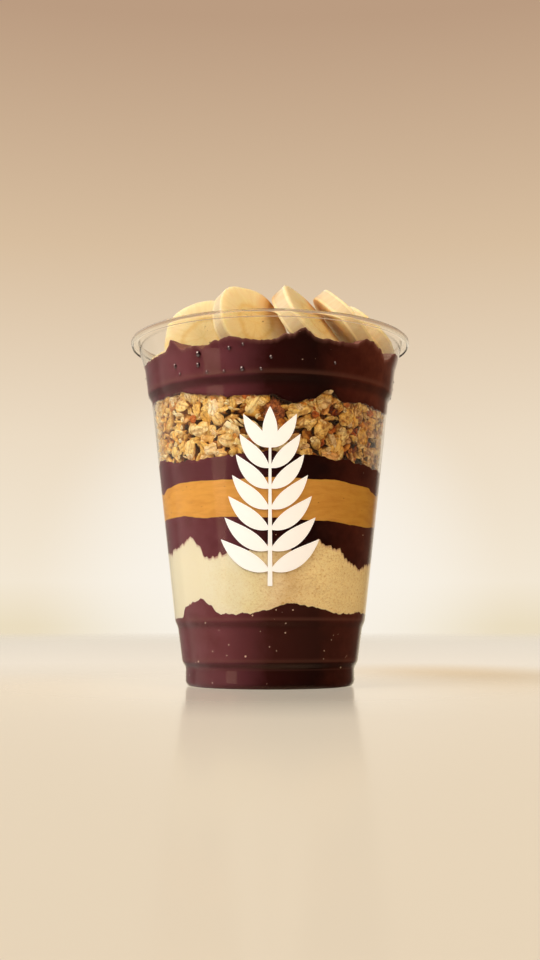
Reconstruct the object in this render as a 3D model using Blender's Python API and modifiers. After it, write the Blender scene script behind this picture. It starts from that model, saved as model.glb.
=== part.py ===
"""A layered acai bowl in a clear plastic tumbler, with banana slices on top.

The cup stands on its ring foot at z = 0 with its axis on the origin's Z axis, and the side that
shows best faces -Y. From the bottom up it holds acai, powdered milk, acai, peanut butter, acai,
granola and acai, each a solid that runs right through the cup, and nine slices of banana are
pressed into the top.
"""

import math
import random
from collections import namedtuple

import bmesh
import bpy
from mathutils import Matrix, Vector

MM = 0.001

# The cup: a 98 mm tumbler of thin clear plastic, 120 mm tall
CUP_HEIGHT = 120.0
RIM_RADIUS = 49.0
WALL = 0.6
ROLL_OUTER = 1.6
ROLL_INNER = ROLL_OUTER - WALL
ROLL_END_ANGLE = -50.0
FOOT_RADIUS = 28.9
CUP_STEPS = 48
OVER_RIM_STEPS = 5
UNDER_RIM_STEPS = 4
MERGE_DISTANCE = 0.00001

# Radius and height, in mm, of the cup's outer skin, from the axis out and up to the rolled rim
CUP_SKIN = (
    (0.0, 2.2),  # raised middle of the base
    (24.0, 1.8),
    (24.9, 0.0),  # ring foot
    (28.0, 0.0),
    (FOOT_RADIUS, 1.4),
    (FOOT_RADIUS, 6.4),  # foot band
    (30.1, 8.4),  # lower step
    (31.65, 19.8),
    (32.6, 22.0),  # stacking ring
    (41.3, 97.2),  # long tapered wall
    (42.8, 100.6),  # upper ledge
    (43.9, 108.8),
    (45.6, 114.4),  # flare under the rim
    (RIM_RADIUS - ROLL_OUTER - ROLL_INNER, CUP_HEIGHT - ROLL_OUTER),
)
# Corners of that skin: those of the base and foot up to the stacking ring, the first one of the
# side, and those between the long wall and the rim
FOOT_CORNERS = slice(1, 9)
FIRST_SIDE_CORNER = 3
UPPER_CORNERS = slice(9, 12)

# The food inside it
GAP = 0.3
SEGMENTS = 60
EDGE_BAND = 0.8
CREST_SHARPNESS = 1.2
DISH_POWER = 3
LAYER_SMOOTH_ANGLE = 40.0
Crest = namedtuple("Crest", "angle half_width rise")
Face = namedtuple("Face", "middle edge crests shares")

# Shares of the way out to the wall at which a face between layers has a ring of points. The
# core of the granola ends at the last ring but one.
PLAIN_RINGS = (0.55, 1.0)
GRANOLA_RINGS = (0.55, 0.972, 1.0)
TOP_RINGS = (0.45, 0.75, 0.9, 1.0)

# The upper face of each layer: its height in the middle and at the wall, and the crests that
# show at the wall. A crest has its angle round the cup from the front, growing towards +X, its
# half width in degrees, and its rise in mm.
BASE_ACAI_TOP = Face(
    25.5,
    24.7,
    (Crest(-44, 17, 4.4), Crest(-72, 12, -1.6), Crest(12, 24, 2.7), Crest(48, 14, -1.0)),
    PLAIN_RINGS,
)
MILK_TOP = Face(
    44.0,
    44.3,
    (
        Crest(-50, 13, 5.4),
        Crest(-36, 6, -2.0),
        Crest(0, 6, 1.9),
        Crest(27, 9, 3.2),
        Crest(58, 18, -6.0),
    ),
    PLAIN_RINGS,
)
SECOND_ACAI_TOP = Face(
    55.5,
    55.7,
    (Crest(-52, 14, 0.8), Crest(50, 36, -2.6)),
    PLAIN_RINGS,
)
PEANUT_TOP = Face(
    67.0,
    67.1,
    (Crest(-86, 22, -3.2), Crest(-10, 20, -0.4), Crest(80, 20, -3.4)),
    PLAIN_RINGS,
)
THIRD_ACAI_TOP = Face(
    74.5,
    74.6,
    (Crest(-78, 16, 1.6), Crest(-45, 15, -0.8), Crest(-6, 20, 1.0), Crest(60, 24, -1.8)),
    GRANOLA_RINGS,
)
GRANOLA_TOP = Face(
    93.0,
    93.6,
    (Crest(-56, 26, 3.0), Crest(9, 6, -1.8), Crest(28, 9, 1.8), Crest(60, 20, -0.7)),
    GRANOLA_RINGS,
)
TOP_ACAI_TOP = Face(
    113.5,
    110.4,
    (
        Crest(-46, 8, 3.2),
        Crest(-20, 10, 0.9),
        Crest(14, 12, 4.3),
        Crest(46, 11, 4.0),
        Crest(85, 20, 3.6),
    ),
    TOP_RINGS,
)
# On the far side each face goes on with crests of the same size, drawn from a seeded rule. Each
# has an equal step of that side: where in its step it stands, its half width in steps, and how
# much of the tallest front crest it may rise or dip.
FAR_SIDE = (92, 268)
FAR_CRESTS = 7
FAR_PLACE = (0.3, 0.7)
FAR_WIDTH = (0.5, 0.95)
FAR_RISE = 0.7
SEEDS_PER_MM = 10

# Rolled oats in the granola, in mm
OAT_SEED = 7
OAT_ROWS = 5
OATS_IN_ROW = 16
OAT_SIDES = 6
OAT_LENGTH = (5.4, 8.2)
OAT_WIDTH = (4.2, 5.8)
OAT_THICKNESS = 1.6
OAT_WOBBLE = (1.0, 1.25)
OAT_FULLNESS = 1.4
OAT_TILT = 22.0
OAT_SHIFT = 0.25
OAT_LIFT = 0.15
OAT_BITE = 0.3
OAT_CLEARANCE = 0.2

# Banana slices: centre in mm, the way the cut face looks, the spin of its long way in degrees,
# its radius in mm, how much longer it is than round, and its thickness in mm. The first five show
# from the front.
SLICES = (
    ((-21.8, -22.0, 115.2), (-0.12, -0.97, 0.20), 71, 13.6, 1.02, 7.4),
    ((-6.4, -33.4, 117.4), (0.52, -0.82, 0.24), 129, 12.6, 1.13, 6.6),
    ((12.5, -28.6, 118.8), (0.74, -0.38, 0.56), 113, 14.0, 1.06, 7.0),
    ((25.4, -16.6, 121.8), (0.76, 0.02, 0.65), 106, 13.2, 1.03, 6.2),
    ((33.9, 4.5, 123.3), (0.70, 0.08, 0.71), 59, 12.2, 1.03, 6.2),
    ((14.0, 22.5, 115.6), (0.22, 0.30, 0.93), 20, 13.2, 1.04, 8.2),
    ((-15.5, 24.0, 115.4), (-0.28, 0.36, 0.89), 50, 13.0, 1.05, 8.0),
    ((-31.0, 2.5, 115.0), (-0.42, -0.06, 0.90), 10, 12.2, 1.04, 7.6),
    ((-2.0, -3.0, 117.4), (0.12, -0.16, 0.98), 80, 13.4, 1.04, 8.0),
)
SLICE_SIDES = 18
SLICE_EDGE = 0.9
SLICE_SMOOTH_ANGLE = 30.0
PENTAGON = 0.028
LEVEL = 1e-6

# Materials: colour from the photograph with its opacity, roughness and transmission
Finish = namedtuple("Finish", "colour roughness transmission")
CLEAR_PLASTIC = Finish((0.92, 0.90, 0.86, 0.25), 0.05, 1.0)
ACAI = Finish((0.14, 0.035, 0.04, 1.0), 0.45, 0.0)
POWDERED_MILK = Finish((0.80, 0.62, 0.38, 1.0), 0.8, 0.0)
PEANUT_BUTTER = Finish((0.62, 0.31, 0.08, 1.0), 0.4, 0.0)
GRANOLA = Finish((0.55, 0.33, 0.13, 1.0), 0.7, 0.0)
BANANA = Finish((0.86, 0.70, 0.40, 1.0), 0.5, 0.0)


def clear_scene():
    for old in list(bpy.data.objects):
        bpy.data.objects.remove(old, do_unlink=True)


def new_collection(name):
    collection = bpy.data.collections.new(name)
    bpy.context.scene.collection.children.link(collection)
    return collection


def material(name, finish):
    made = bpy.data.materials.new(name)
    made.use_nodes = True
    shader = made.node_tree.nodes["Principled BSDF"]
    *colour, opacity = finish.colour
    shader.inputs["Base Color"].default_value = (*colour, 1.0)
    shader.inputs["Roughness"].default_value = finish.roughness
    shader.inputs["Metallic"].default_value = 0.0
    shader.inputs["Transmission Weight"].default_value = finish.transmission
    shader.inputs["Alpha"].default_value = opacity
    return made


def object_of(name, mesh_data, collection, finish=None):
    made = bpy.data.objects.new(name, mesh_data)
    collection.objects.link(made)
    if finish is not None:
        made.data.materials.append(finish)
    return made


def inset(skin, distance):
    """The skin's points moved square to it by the distance, towards the inside of the cup."""
    moved = []
    for index, (radius, height) in enumerate(skin):
        here = Vector((radius, height))
        before = Vector(skin[index - 1]) if index else None
        after = Vector(skin[index + 1]) if index + 1 < len(skin) else None
        ways = [
            (end - start).normalized()
            for start, end in ((before, here), (here, after))
            if start is not None and end is not None
        ]
        normals = [Vector((-way.y, way.x)) for way in ways]
        middle = sum(normals, Vector((0.0, 0.0))).normalized()
        point = here + middle * distance / middle.dot(normals[0])
        moved.append((max(point.x, 0.0) if radius else 0.0, point.y))
    return moved


def arc(centre, radius, start, end, steps):
    """Points along an arc in degrees, both ends included."""
    angles = [math.radians(start + (end - start) * i / steps) for i in range(steps + 1)]
    return [
        (centre[0] + radius * math.cos(a), centre[1] + radius * math.sin(a))
        for a in angles
    ]


def make_cup(collection, finish):
    """The tumbler is one turned profile: up the inside, over the rolled rim, down the outside."""
    roll_centre = (RIM_RADIUS - ROLL_OUTER, CUP_HEIGHT - ROLL_OUTER)
    over_the_rim = arc(roll_centre, ROLL_OUTER, 180.0, ROLL_END_ANGLE, OVER_RIM_STEPS)
    under_the_rim = arc(roll_centre, ROLL_INNER, ROLL_END_ANGLE, 180.0, UNDER_RIM_STEPS)
    inside = inset(CUP_SKIN, WALL)[:-1]
    outside = list(reversed(CUP_SKIN[:-1]))
    profile = inside + over_the_rim + under_the_rim + outside
    mesh = bpy.data.meshes.new("cup_profile")
    corners = [(radius * MM, 0.0, height * MM) for radius, height in profile]
    edges = [(i, i + 1) for i in range(len(corners) - 1)]
    mesh.from_pydata(corners, edges, [])
    cup = object_of("cup", mesh, collection, finish)
    screw = cup.modifiers.new("turned", "SCREW")
    screw.steps = CUP_STEPS
    screw.render_steps = CUP_STEPS
    screw.use_merge_vertices = True
    screw.merge_threshold = MERGE_DISTANCE
    screw.use_smooth_shade = True
    return cup


FILL_SKIN = inset(CUP_SKIN, WALL + GAP)


def fill_radius(height):
    """How far out the food reaches at this height, from the foot up."""
    side = FILL_SKIN[FIRST_SIDE_CORNER:]
    for (r0, z0), (r1, z1) in zip(side, side[1:]):
        if height <= z1:
            return r0 + (r1 - r0) * (height - z0) / (z1 - z0)
    return side[-1][0]


def crest_rise(angle, crest):
    away = abs((angle - crest.angle + 180.0) % 360.0 - 180.0) / crest.half_width
    return crest.rise * max(0.0, 1.0 - away) ** CREST_SHARPNESS


def far_crests(face):
    """Crests for the side away from the front, about as tall as those in front."""
    draw = random.Random(round(face.edge * SEEDS_PER_MM))
    tallest = max(abs(crest.rise) for crest in face.crests)
    step = (FAR_SIDE[1] - FAR_SIDE[0]) / FAR_CRESTS
    return [
        Crest(
            FAR_SIDE[0] + step * (i + draw.uniform(*FAR_PLACE)),
            draw.uniform(*FAR_WIDTH) * step,
            draw.uniform(-FAR_RISE, FAR_RISE) * tallest,
        )
        for i in range(FAR_CRESTS)
    ]


def face_height(face, angle, share):
    """Height of a face between layers, at an angle and at a share of the way out to the wall."""
    crests = (*face.crests, *far_crests(face))
    at_wall = face.edge + sum(crest_rise(angle, crest) for crest in crests)
    return face.middle + (at_wall - face.middle) * share**DISH_POWER


def ring(place):
    """One ring of points round the axis, from a rule that gives radius and height."""
    points = []
    for step in range(SEGMENTS):
        angle = 360.0 * step / SEGMENTS
        radius, height = place(angle)
        turn = math.radians(angle)
        points.append(
            Vector((radius * math.sin(turn), -radius * math.cos(turn), height)) * MM
        )
    return points


def face_ring(face, share, lift):
    """A ring on a face between layers, lifted clear of the neighbour by half the gap."""

    def at(angle):
        height = face_height(face, angle, share) + lift
        return fill_radius(height) * share, height

    return ring(at)


def side_ring(height, above):
    """A ring down the side, kept below the layer's own upper face where that dips."""

    def at(angle):
        level = min(height, face_height(above, angle, 1.0) - EDGE_BAND)
        return fill_radius(level), level

    return ring(at)


def solid_of_rings(name, top_pole, rings, bottom_pole, collection, finish):
    """A closed solid from rings, top to bottom: a sphere's net, with each ring put in its place."""
    mesh = bpy.data.meshes.new(name)
    bm = bmesh.new()
    rows = len(rings) + 1
    bmesh.ops.create_uvsphere(bm, u_segments=SEGMENTS, v_segments=rows, radius=1.0)
    for vert in bm.verts:
        row = round(math.acos(max(-1.0, min(1.0, vert.co.z))) / math.pi * rows)
        if row in (0, rows):
            height = top_pole if row == 0 else bottom_pole
            vert.co = Vector((0.0, 0.0, height * MM))
            continue
        turn = math.degrees(math.atan2(vert.co.x, -vert.co.y)) % 360.0
        vert.co = rings[row - 1][round(turn / 360.0 * SEGMENTS) % SEGMENTS]
    bmesh.ops.triangulate(bm, faces=bm.faces[:])
    bm.to_mesh(mesh)
    bm.free()
    made = object_of(name, mesh, collection, finish)
    mesh.shade_smooth()
    mesh.set_sharp_from_angle(angle=math.radians(LAYER_SMOOTH_ANGLE))
    return made


def make_layer(name, below, above, collection, finish, steps=(), core=False):
    """A layer of food from one face to the next, half a gap clear of each.

    A core stops one ring short of the wall, where the pieces that show are fused on.
    """
    last = -1 if core else None
    rings = [face_ring(above, share, -GAP / 2) for share in above.shares[:last]]
    rings += [side_ring(height, above) for height in steps]
    rings += [face_ring(below, share, GAP / 2) for share in reversed(below.shares[:last])]
    top_pole = above.middle - GAP / 2
    bottom_pole = below.middle + GAP / 2
    return solid_of_rings(name, top_pole, rings, bottom_pole, collection, finish)


def make_base_acai(collection, finish):
    """The lowest acai fills the foot, down into the channel of the ring foot."""
    rings = [face_ring(BASE_ACAI_TOP, share, -GAP / 2) for share in PLAIN_RINGS]
    rings += [ring(lambda angle, at=point: at) for point in reversed(FILL_SKIN[FOOT_CORNERS])]
    top_pole = BASE_ACAI_TOP.middle - GAP / 2
    bottom_pole = FILL_SKIN[0][1]
    return solid_of_rings("acai_base", top_pole, rings, bottom_pole, collection, finish)


def oat_mesh(draw):
    """A rolled oat: an oval flake, a little irregular at its edge."""
    bm = bmesh.new()
    bmesh.ops.create_uvsphere(bm, u_segments=OAT_SIDES, v_segments=3, radius=1.0)
    for vert in bm.verts:
        is_pole = math.hypot(vert.co.x, vert.co.y) < LEVEL
        if not is_pole:
            wobble = draw.uniform(*OAT_WOBBLE)
            vert.co = (vert.co.x * wobble, vert.co.y * wobble, vert.co.z * OAT_FULLNESS)
    length = draw.uniform(*OAT_LENGTH) / 2
    width = draw.uniform(*OAT_WIDTH) / 2
    size = Vector((length, width, OAT_THICKNESS / 2))
    bmesh.ops.scale(bm, vec=size, verts=bm.verts)
    return bm


def oat_turn(draw, angle):
    """A flake lies roughly against the wall, turned and tilted by chance."""
    against_wall = Matrix.Rotation(math.radians(90.0), 3, "X")
    spin = Matrix.Rotation(draw.uniform(0.0, math.pi), 3, "Z")
    tilt_angle = math.radians(draw.uniform(-OAT_TILT, OAT_TILT))
    tilt = Matrix.Rotation(tilt_angle, 3, draw.choice("XY"))
    round_cup = Matrix.Rotation(math.radians(angle), 3, "Z")
    return round_cup @ against_wall @ tilt @ spin


def angle_of(point):
    """The angle round the cup of a point, from the front and growing towards +X."""
    return math.degrees(math.atan2(point.x, -point.y))


def place_oat(bm, draw, angle, height):
    """Pushes the flake up to the wall, between the acai below and above. False if it can't fit."""
    turn = oat_turn(draw, angle)
    outwards = Vector((math.sin(math.radians(angle)), -math.cos(math.radians(angle)), 0))
    for vert in bm.verts:
        vert.co = turn @ vert.co + outwards * fill_radius(height)
    floor = max(
        face_height(THIRD_ACAI_TOP, angle_of(vert.co), 1.0) - vert.co.z for vert in bm.verts
    )
    ceiling = min(
        face_height(GRANOLA_TOP, angle_of(vert.co), 1.0) - vert.co.z for vert in bm.verts
    )
    if ceiling - floor < 2 * GAP:
        return False
    level = min(max(height, floor + GAP), ceiling - GAP)
    for vert in bm.verts:
        vert.co.z += level
    too_far = max(
        math.hypot(vert.co.x, vert.co.y) - fill_radius(vert.co.z) for vert in bm.verts
    )
    for vert in bm.verts:
        vert.co -= outwards * (too_far + OAT_CLEARANCE)
    deepest = min(vert.co.dot(outwards) for vert in bm.verts)
    return deepest < fill_radius(level) * GRANOLA_RINGS[-2] - OAT_BITE


def make_granola(collection, flakes, finish):
    """A core of granola with the oats that show at the wall fused on."""
    granola = make_layer(
        "granola", THIRD_ACAI_TOP, GRANOLA_TOP, collection, finish, core=True
    )
    draw = random.Random(OAT_SEED)
    for row in range(OAT_ROWS):
        for place in range(OATS_IN_ROW):
            stagger = (row % 2) / 2 + draw.uniform(-OAT_SHIFT, OAT_SHIFT)
            angle = 360.0 * (place + stagger) / OATS_IN_ROW
            floor = face_height(THIRD_ACAI_TOP, angle, 1.0)
            ceiling = face_height(GRANOLA_TOP, angle, 1.0)
            share = (row + 0.5 + draw.uniform(-OAT_LIFT, OAT_LIFT)) / OAT_ROWS
            bm = oat_mesh(draw)
            if place_oat(bm, draw, angle, floor + (ceiling - floor) * share):
                bmesh.ops.scale(bm, vec=(MM, MM, MM), verts=bm.verts)
                mesh = bpy.data.meshes.new("oat")
                bm.to_mesh(mesh)
                object_of(f"oat_{row}_{place}", mesh, flakes)
            bm.free()
    print("oats fused on:", len(flakes.objects))
    fuse(granola, flakes)
    return granola


def skins(bm):
    """The mesh's separate skins, each as a set of faces that meet along edges."""
    left = set(bm.faces)
    found = []
    while left:
        skin = set()
        border = [left.pop()]
        while border:
            face = border.pop()
            skin.add(face)
            for edge in face.edges:
                for other in edge.link_faces:
                    if other in left:
                        left.remove(other)
                        border.append(other)
        found.append(skin)
    return found


def keep_largest(mesh):
    """Fills sealed hollows and drops loose scraps, by keeping the one largest skin."""
    bm = bmesh.new()
    bm.from_mesh(mesh)
    for skin in sorted(skins(bm), key=len)[:-1]:
        bmesh.ops.delete(bm, geom=list(skin), context="FACES")
    bm.to_mesh(mesh)
    bm.free()


def fuse(target, collection):
    """One union of the target with everything in the collection, which is then removed."""
    union = target.modifiers.new("fused", "BOOLEAN")
    union.operation = "UNION"
    union.operand_type = "COLLECTION"
    union.collection = collection
    union.solver = "EXACT"
    bpy.context.view_layer.objects.active = target
    bpy.ops.object.modifier_apply(modifier=union.name)
    for piece in list(collection.objects):
        bpy.data.objects.remove(piece, do_unlink=True)
    bpy.data.collections.remove(collection)
    keep_largest(target.data)


def slice_axes(facing):
    """Sideways, up the cut face and out of it, as the columns of a turn."""
    out = Vector(facing).normalized()
    side = Vector((0.0, 0.0, 1.0)).cross(out).normalized()
    return Matrix((side, out.cross(side), out)).transposed()


def slice_object(name, index, collection, finish=None, grow=0.0):
    """A slice of banana: a short, faintly five-sided cylinder with softened edges."""
    centre, facing, spin, radius, oval, thickness = SLICES[index]
    bm = bmesh.new()
    bmesh.ops.create_cone(
        bm,
        cap_ends=True,
        segments=SLICE_SIDES,
        radius1=1.0,
        radius2=1.0,
        depth=thickness + 2 * grow,
    )
    for vert in bm.verts:
        turn = math.atan2(vert.co.y, vert.co.x)
        out = radius * (1.0 + PENTAGON * math.cos(5 * turn)) + grow
        vert.co.x *= out * oval
        vert.co.y *= out / oval
    rims = [edge for edge in bm.edges if abs(edge.verts[0].co.z - edge.verts[1].co.z) < LEVEL]
    bmesh.ops.bevel(
        bm, geom=rims, offset=SLICE_EDGE, segments=1, affect="EDGES", profile=0.5
    )
    turn = slice_axes(facing) @ Matrix.Rotation(math.radians(spin), 3, "Z")
    bmesh.ops.scale(bm, vec=(MM, MM, MM), verts=bm.verts)
    mesh = bpy.data.meshes.new(name)
    bm.to_mesh(mesh)
    bm.free()
    made = object_of(name, mesh, collection, finish)
    made.location = Vector(centre) * MM
    made.rotation_mode = "QUATERNION"
    made.rotation_quaternion = turn.to_quaternion()
    mesh.shade_smooth()
    mesh.set_sharp_from_angle(angle=math.radians(SLICE_SMOOTH_ANGLE))
    return made


def make_top_acai(collection, cutters, finish):
    """The top acai rises in peaks at the wall and has the pressed-in slices cut out of it."""
    steps = [height for _, height in reversed(FILL_SKIN[UPPER_CORNERS])]
    acai = make_layer(
        "acai_top", GRANOLA_TOP, TOP_ACAI_TOP, collection, finish, steps=steps
    )
    for index in range(len(SLICES)):
        cutter = slice_object(f"cutter_{index + 1}", index, cutters, grow=GAP)
        cutter.hide_render = True
        cutter.display_type = "WIRE"
    cut = acai.modifiers.new("pressed_in", "BOOLEAN")
    cut.operation = "DIFFERENCE"
    cut.operand_type = "COLLECTION"
    cut.collection = cutters
    cut.solver = "EXACT"
    return acai


def main():
    clear_scene()
    bowl = new_collection("acai_bowl")
    flakes = new_collection("flakes")
    cutters = new_collection("cutters")

    acai = material("acai_sorbet", ACAI)
    make_cup(bowl, material("clear_plastic", CLEAR_PLASTIC))
    make_base_acai(bowl, acai)
    milk = material("powdered_milk", POWDERED_MILK)
    make_layer("powdered_milk", BASE_ACAI_TOP, MILK_TOP, bowl, milk)
    make_layer("acai_second", MILK_TOP, SECOND_ACAI_TOP, bowl, acai)
    peanut = material("peanut_butter", PEANUT_BUTTER)
    make_layer("peanut_butter", SECOND_ACAI_TOP, PEANUT_TOP, bowl, peanut)
    make_layer("acai_third", PEANUT_TOP, THIRD_ACAI_TOP, bowl, acai)
    make_granola(bowl, flakes, material("granola", GRANOLA))
    make_top_acai(bowl, cutters, acai)
    banana = material("banana", BANANA)
    for index in range(len(SLICES)):
        slice_object(f"banana_slice_{index + 1}", index, bowl, banana)


main()
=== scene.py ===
# %% [markdown]
# # A layered acai bowl in a clear tumbler
# The real thing is a tall clear plastic cup, filled from the foot up with acai, powdered milk,
# acai, peanut butter, acai, granola and a crown of acai, with slices of banana pressed into the
# top. Plain solids already hold every size and place. This lesson makes the looks round them:
# each step says what the piece is, how it could be made, and why it is made this way.

# %% Load the plain solids and keep their box
import functools
import math
import random

import bpy
import numpy as np
from mathutils import Matrix, Vector, noise


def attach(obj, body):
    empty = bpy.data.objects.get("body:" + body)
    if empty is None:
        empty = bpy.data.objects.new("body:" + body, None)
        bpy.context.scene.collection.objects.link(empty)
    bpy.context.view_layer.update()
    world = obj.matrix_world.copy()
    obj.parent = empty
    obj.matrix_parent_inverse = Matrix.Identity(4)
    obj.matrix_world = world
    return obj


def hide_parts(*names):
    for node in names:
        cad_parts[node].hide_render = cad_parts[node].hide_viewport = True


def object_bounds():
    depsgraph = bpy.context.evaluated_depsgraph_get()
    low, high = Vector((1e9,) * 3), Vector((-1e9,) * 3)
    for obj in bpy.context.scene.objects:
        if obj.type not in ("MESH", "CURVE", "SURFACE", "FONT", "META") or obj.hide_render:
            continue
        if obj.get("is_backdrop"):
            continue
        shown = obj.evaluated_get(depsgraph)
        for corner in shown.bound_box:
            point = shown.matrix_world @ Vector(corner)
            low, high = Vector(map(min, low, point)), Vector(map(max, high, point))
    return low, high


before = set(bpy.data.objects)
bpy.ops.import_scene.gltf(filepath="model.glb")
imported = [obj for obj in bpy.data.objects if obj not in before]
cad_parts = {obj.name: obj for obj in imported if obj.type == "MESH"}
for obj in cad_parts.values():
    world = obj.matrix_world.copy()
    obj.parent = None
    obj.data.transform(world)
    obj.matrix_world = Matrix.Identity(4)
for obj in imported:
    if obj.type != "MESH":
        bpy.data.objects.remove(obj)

MM = 0.001
BODY = "root"
cad_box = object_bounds()
print("solids to dress:", ", ".join(sorted(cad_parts)))

# %% [markdown]
# ## A few helpers
# Blender's operators act on whatever is selected, so one helper takes hold of a single piece.
# The sizes here are in millimetres, and Blender counts in metres, so two helpers read a piece's
# points as millimetres and put them back. Reading all points at once is much faster than
# visiting them one by one.

# %% Take hold of a piece, read its points and move them
def take(piece):
    """Makes one piece the only one selected, and the active one."""
    bpy.ops.object.select_all(action="DESELECT")
    piece.select_set(True)
    bpy.context.view_layer.objects.active = piece


def read_points(piece):
    """The piece's points in millimetres, one row each."""
    flat = np.empty(len(piece.data.vertices) * 3)
    piece.data.vertices.foreach_get("co", flat)
    return flat.reshape(-1, 3) / MM


def move_points(piece, points):
    """Puts the piece's points where the rows say, in millimetres."""
    piece.data.vertices.foreach_set("co", (points * MM).ravel())
    piece.data.update()


def note_on_points(piece, name, values, kind="FLOAT"):
    """Writes a number or a vector on each point, for a material to read."""
    made = piece.data.attributes.new(name, kind, "POINT")
    made.data.foreach_set("vector" if kind == "FLOAT_VECTOR" else "value", np.ravel(values))


def finish_piece(piece, material, slot, *nodes, angle=40.0):
    """Smooths the piece, gives it its material, and lets it stand for its plain solids."""
    take(piece)
    bpy.ops.object.shade_smooth_by_angle(angle=math.radians(angle))
    piece.data.materials.clear()
    piece.data.materials.append(material)
    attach(piece, BODY)
    if nodes:
        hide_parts(*nodes)
    print(f"{piece.name}: {len(piece.data.polygons)} faces")


bpy.ops.object.select_all(action="DESELECT")

# %% [markdown]
# ## Nodes and colours
# A material is a small tree of nodes. One helper adds a node of any kind, and that is all the
# trees below need: what it is given feeds the node's sockets in their order, and what it is given
# by name feeds the socket of that name. Colours are written the way a paint program shows them,
# as sRGB hex, and one function turns them into the linear light that Blender mixes.

# %% One function for nodes and one for colours
CHOICES = {
    "Math": "operation",
    "VectorMath": "operation",
    "MapRange": "interpolation_type",
    "Mix": "blend_type",
}


def colour(code):
    """A linear RGBA colour from an sRGB hex code such as "E8C58A"."""
    channels = [int(code[i : i + 2], 16) / 255 for i in (0, 2, 4)]
    linear = [c / 12.92 if c <= 0.04045 else ((c + 0.055) / 1.055) ** 2.4 for c in channels]
    return (*linear, 1.0)


def grey(share):
    """A grey that carries a number through a colour ramp."""
    return (share, share, share, 1.0)


def feed(tree, socket, value):
    """Links a node or one of its outputs to a socket, or sets the socket; a text is a hex code."""
    if isinstance(value, bpy.types.Node):
        value = next(output for output in value.outputs if output.enabled)
    if isinstance(value, bpy.types.NodeSocket):
        tree.links.new(value, socket)
    else:
        socket.default_value = colour(value) if isinstance(value, str) else value


def add_node(tree, kind, *inputs, stops=(), **settings):
    """Adds a node of a kind such as "Math.ADD". Inputs feed its sockets in order. A setting with a
    capital letter feeds the socket of that name; one with a small letter is the node's own."""
    kind, _, choice = kind.partition(".")
    node = tree.nodes.new("ShaderNode" + kind)
    if kind == "Mix":
        node.data_type = "RGBA"
    if choice:
        setattr(node, CHOICES[kind], choice)
    for name, value in settings.items():
        if name[0].isupper():
            feed(tree, node.inputs[name.replace("_", " ")], value)
        else:
            setattr(node, name, value)
    for socket, value in zip([socket for socket in node.inputs if socket.enabled], inputs):
        feed(tree, socket, value)
    if stops:
        ramp = node.color_ramp.elements
        while len(ramp) < len(stops):
            ramp.new(1.0)
        for stop, (place, shade) in zip(ramp, stops):
            stop.position = place
            stop.color = colour(shade) if isinstance(shade, str) else shade
    return node


def empty_tree(owner):
    """Clears the nodes of a material or the world, and gives the function that adds new ones."""
    owner.use_nodes = True
    owner.node_tree.nodes.clear()
    return functools.partial(add_node, owner.node_tree)


def new_material(name):
    """A new material, the function that adds its nodes, and the place that its textures read."""
    made = bpy.data.materials.new(name)
    add = empty_tree(made)
    return made, add, add("TexCoord").outputs["Object"]


def per_mm(size):
    """The texture scale, on coordinates in metres, that gives features of this many mm."""
    return 1.0 / (size * MM)


print("acai in linear light:", [round(c, 3) for c in colour("5B2D2F")[:3]])

# %% [markdown]
# ## The camera
# A lens of normal length close to the table looks up a little, so the rim curves up and the
# foot curves down. The rim's and the foot's widths and curves in the picture fix the lens, the
# distance and the tilt together; the values below come from fitting those curves.

# %% Set the camera
CAMERA_DISTANCE = 426.1
CAMERA_HEIGHT = 20.6
CAMERA_TILT = 6.75
LENS = 46.0
SENSOR = 36.0

bpy.ops.object.camera_add(
    location=(0.0, -CAMERA_DISTANCE * MM, CAMERA_HEIGHT * MM),
    rotation=(math.radians(90.0 + CAMERA_TILT), 0.0, 0.0),
)
camera = bpy.context.object
camera.name = "camera"
camera.data.lens = LENS
camera.data.sensor_width = SENSOR
camera.data.clip_start = 0.01
camera.data.clip_end = 30.0
bpy.context.scene.camera = camera
bpy.context.scene.view_settings.view_transform = "Standard"
print("camera at", [round(c, 3) for c in camera.location], "looking up", CAMERA_TILT, "degrees")

# %% [markdown]
# ## The room's light
# The picture is taken in a warm studio: a pale backdrop that glows at table height and darkens
# upwards, a broad soft light from the left, and a dim room behind the camera. A sky made of a
# few nodes does this without a wall: the ray's direction picks the brightness. What the eye
# sees behind the cup is the backdrop on every side, so other views stay pale. What lights the
# cup, and what its wall mirrors, is the studio with its bright left and its dim front: an angle
# away from the bright side picks a grey from a ramp. Between the bright side and the backdrop
# the studio is dim, which keeps the cup's left edge from turning pale. A soft box hangs high on
# the left, where only drops and the rim can mirror it, and a low window stands in front of it
# at table height, where only the upright foot does.

# %% Make the backdrop and the studio's glow
BRIGHT_SIDE = (-0.86, 0.50, 0.12)
HALO_TOWARDS = (0.0, 1.0, 0.03)
DIM_GAP_TOWARDS = (-0.62, 0.78, 0.0)
SOFTBOX_TOWARDS = (-0.52, -0.48, 0.70)
SOFTBOX_STRENGTH = 4.0
LOW_WINDOW_TOWARDS = (-0.80, -0.60, -0.05)
LOW_WINDOW_STRENGTH = 1.7

world = bpy.data.worlds.new("warm_studio")
bpy.context.scene.world = world
add = empty_tree(world)
ray = add("TexCoord").outputs["Generated"]
ray_parts = add("SeparateXYZ", ray)


def towards(direction):
    """The cosine between the ray and a direction."""
    return add("VectorMath.DOT_PRODUCT", ray, Vector(direction).normalized())


def soft_patch(direction, edge, core, strength):
    """A round patch in one direction; edge and core are cosines from its middle."""
    return add("MapRange.SMOOTHSTEP", towards(direction), edge, core, 0.0, strength)


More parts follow.
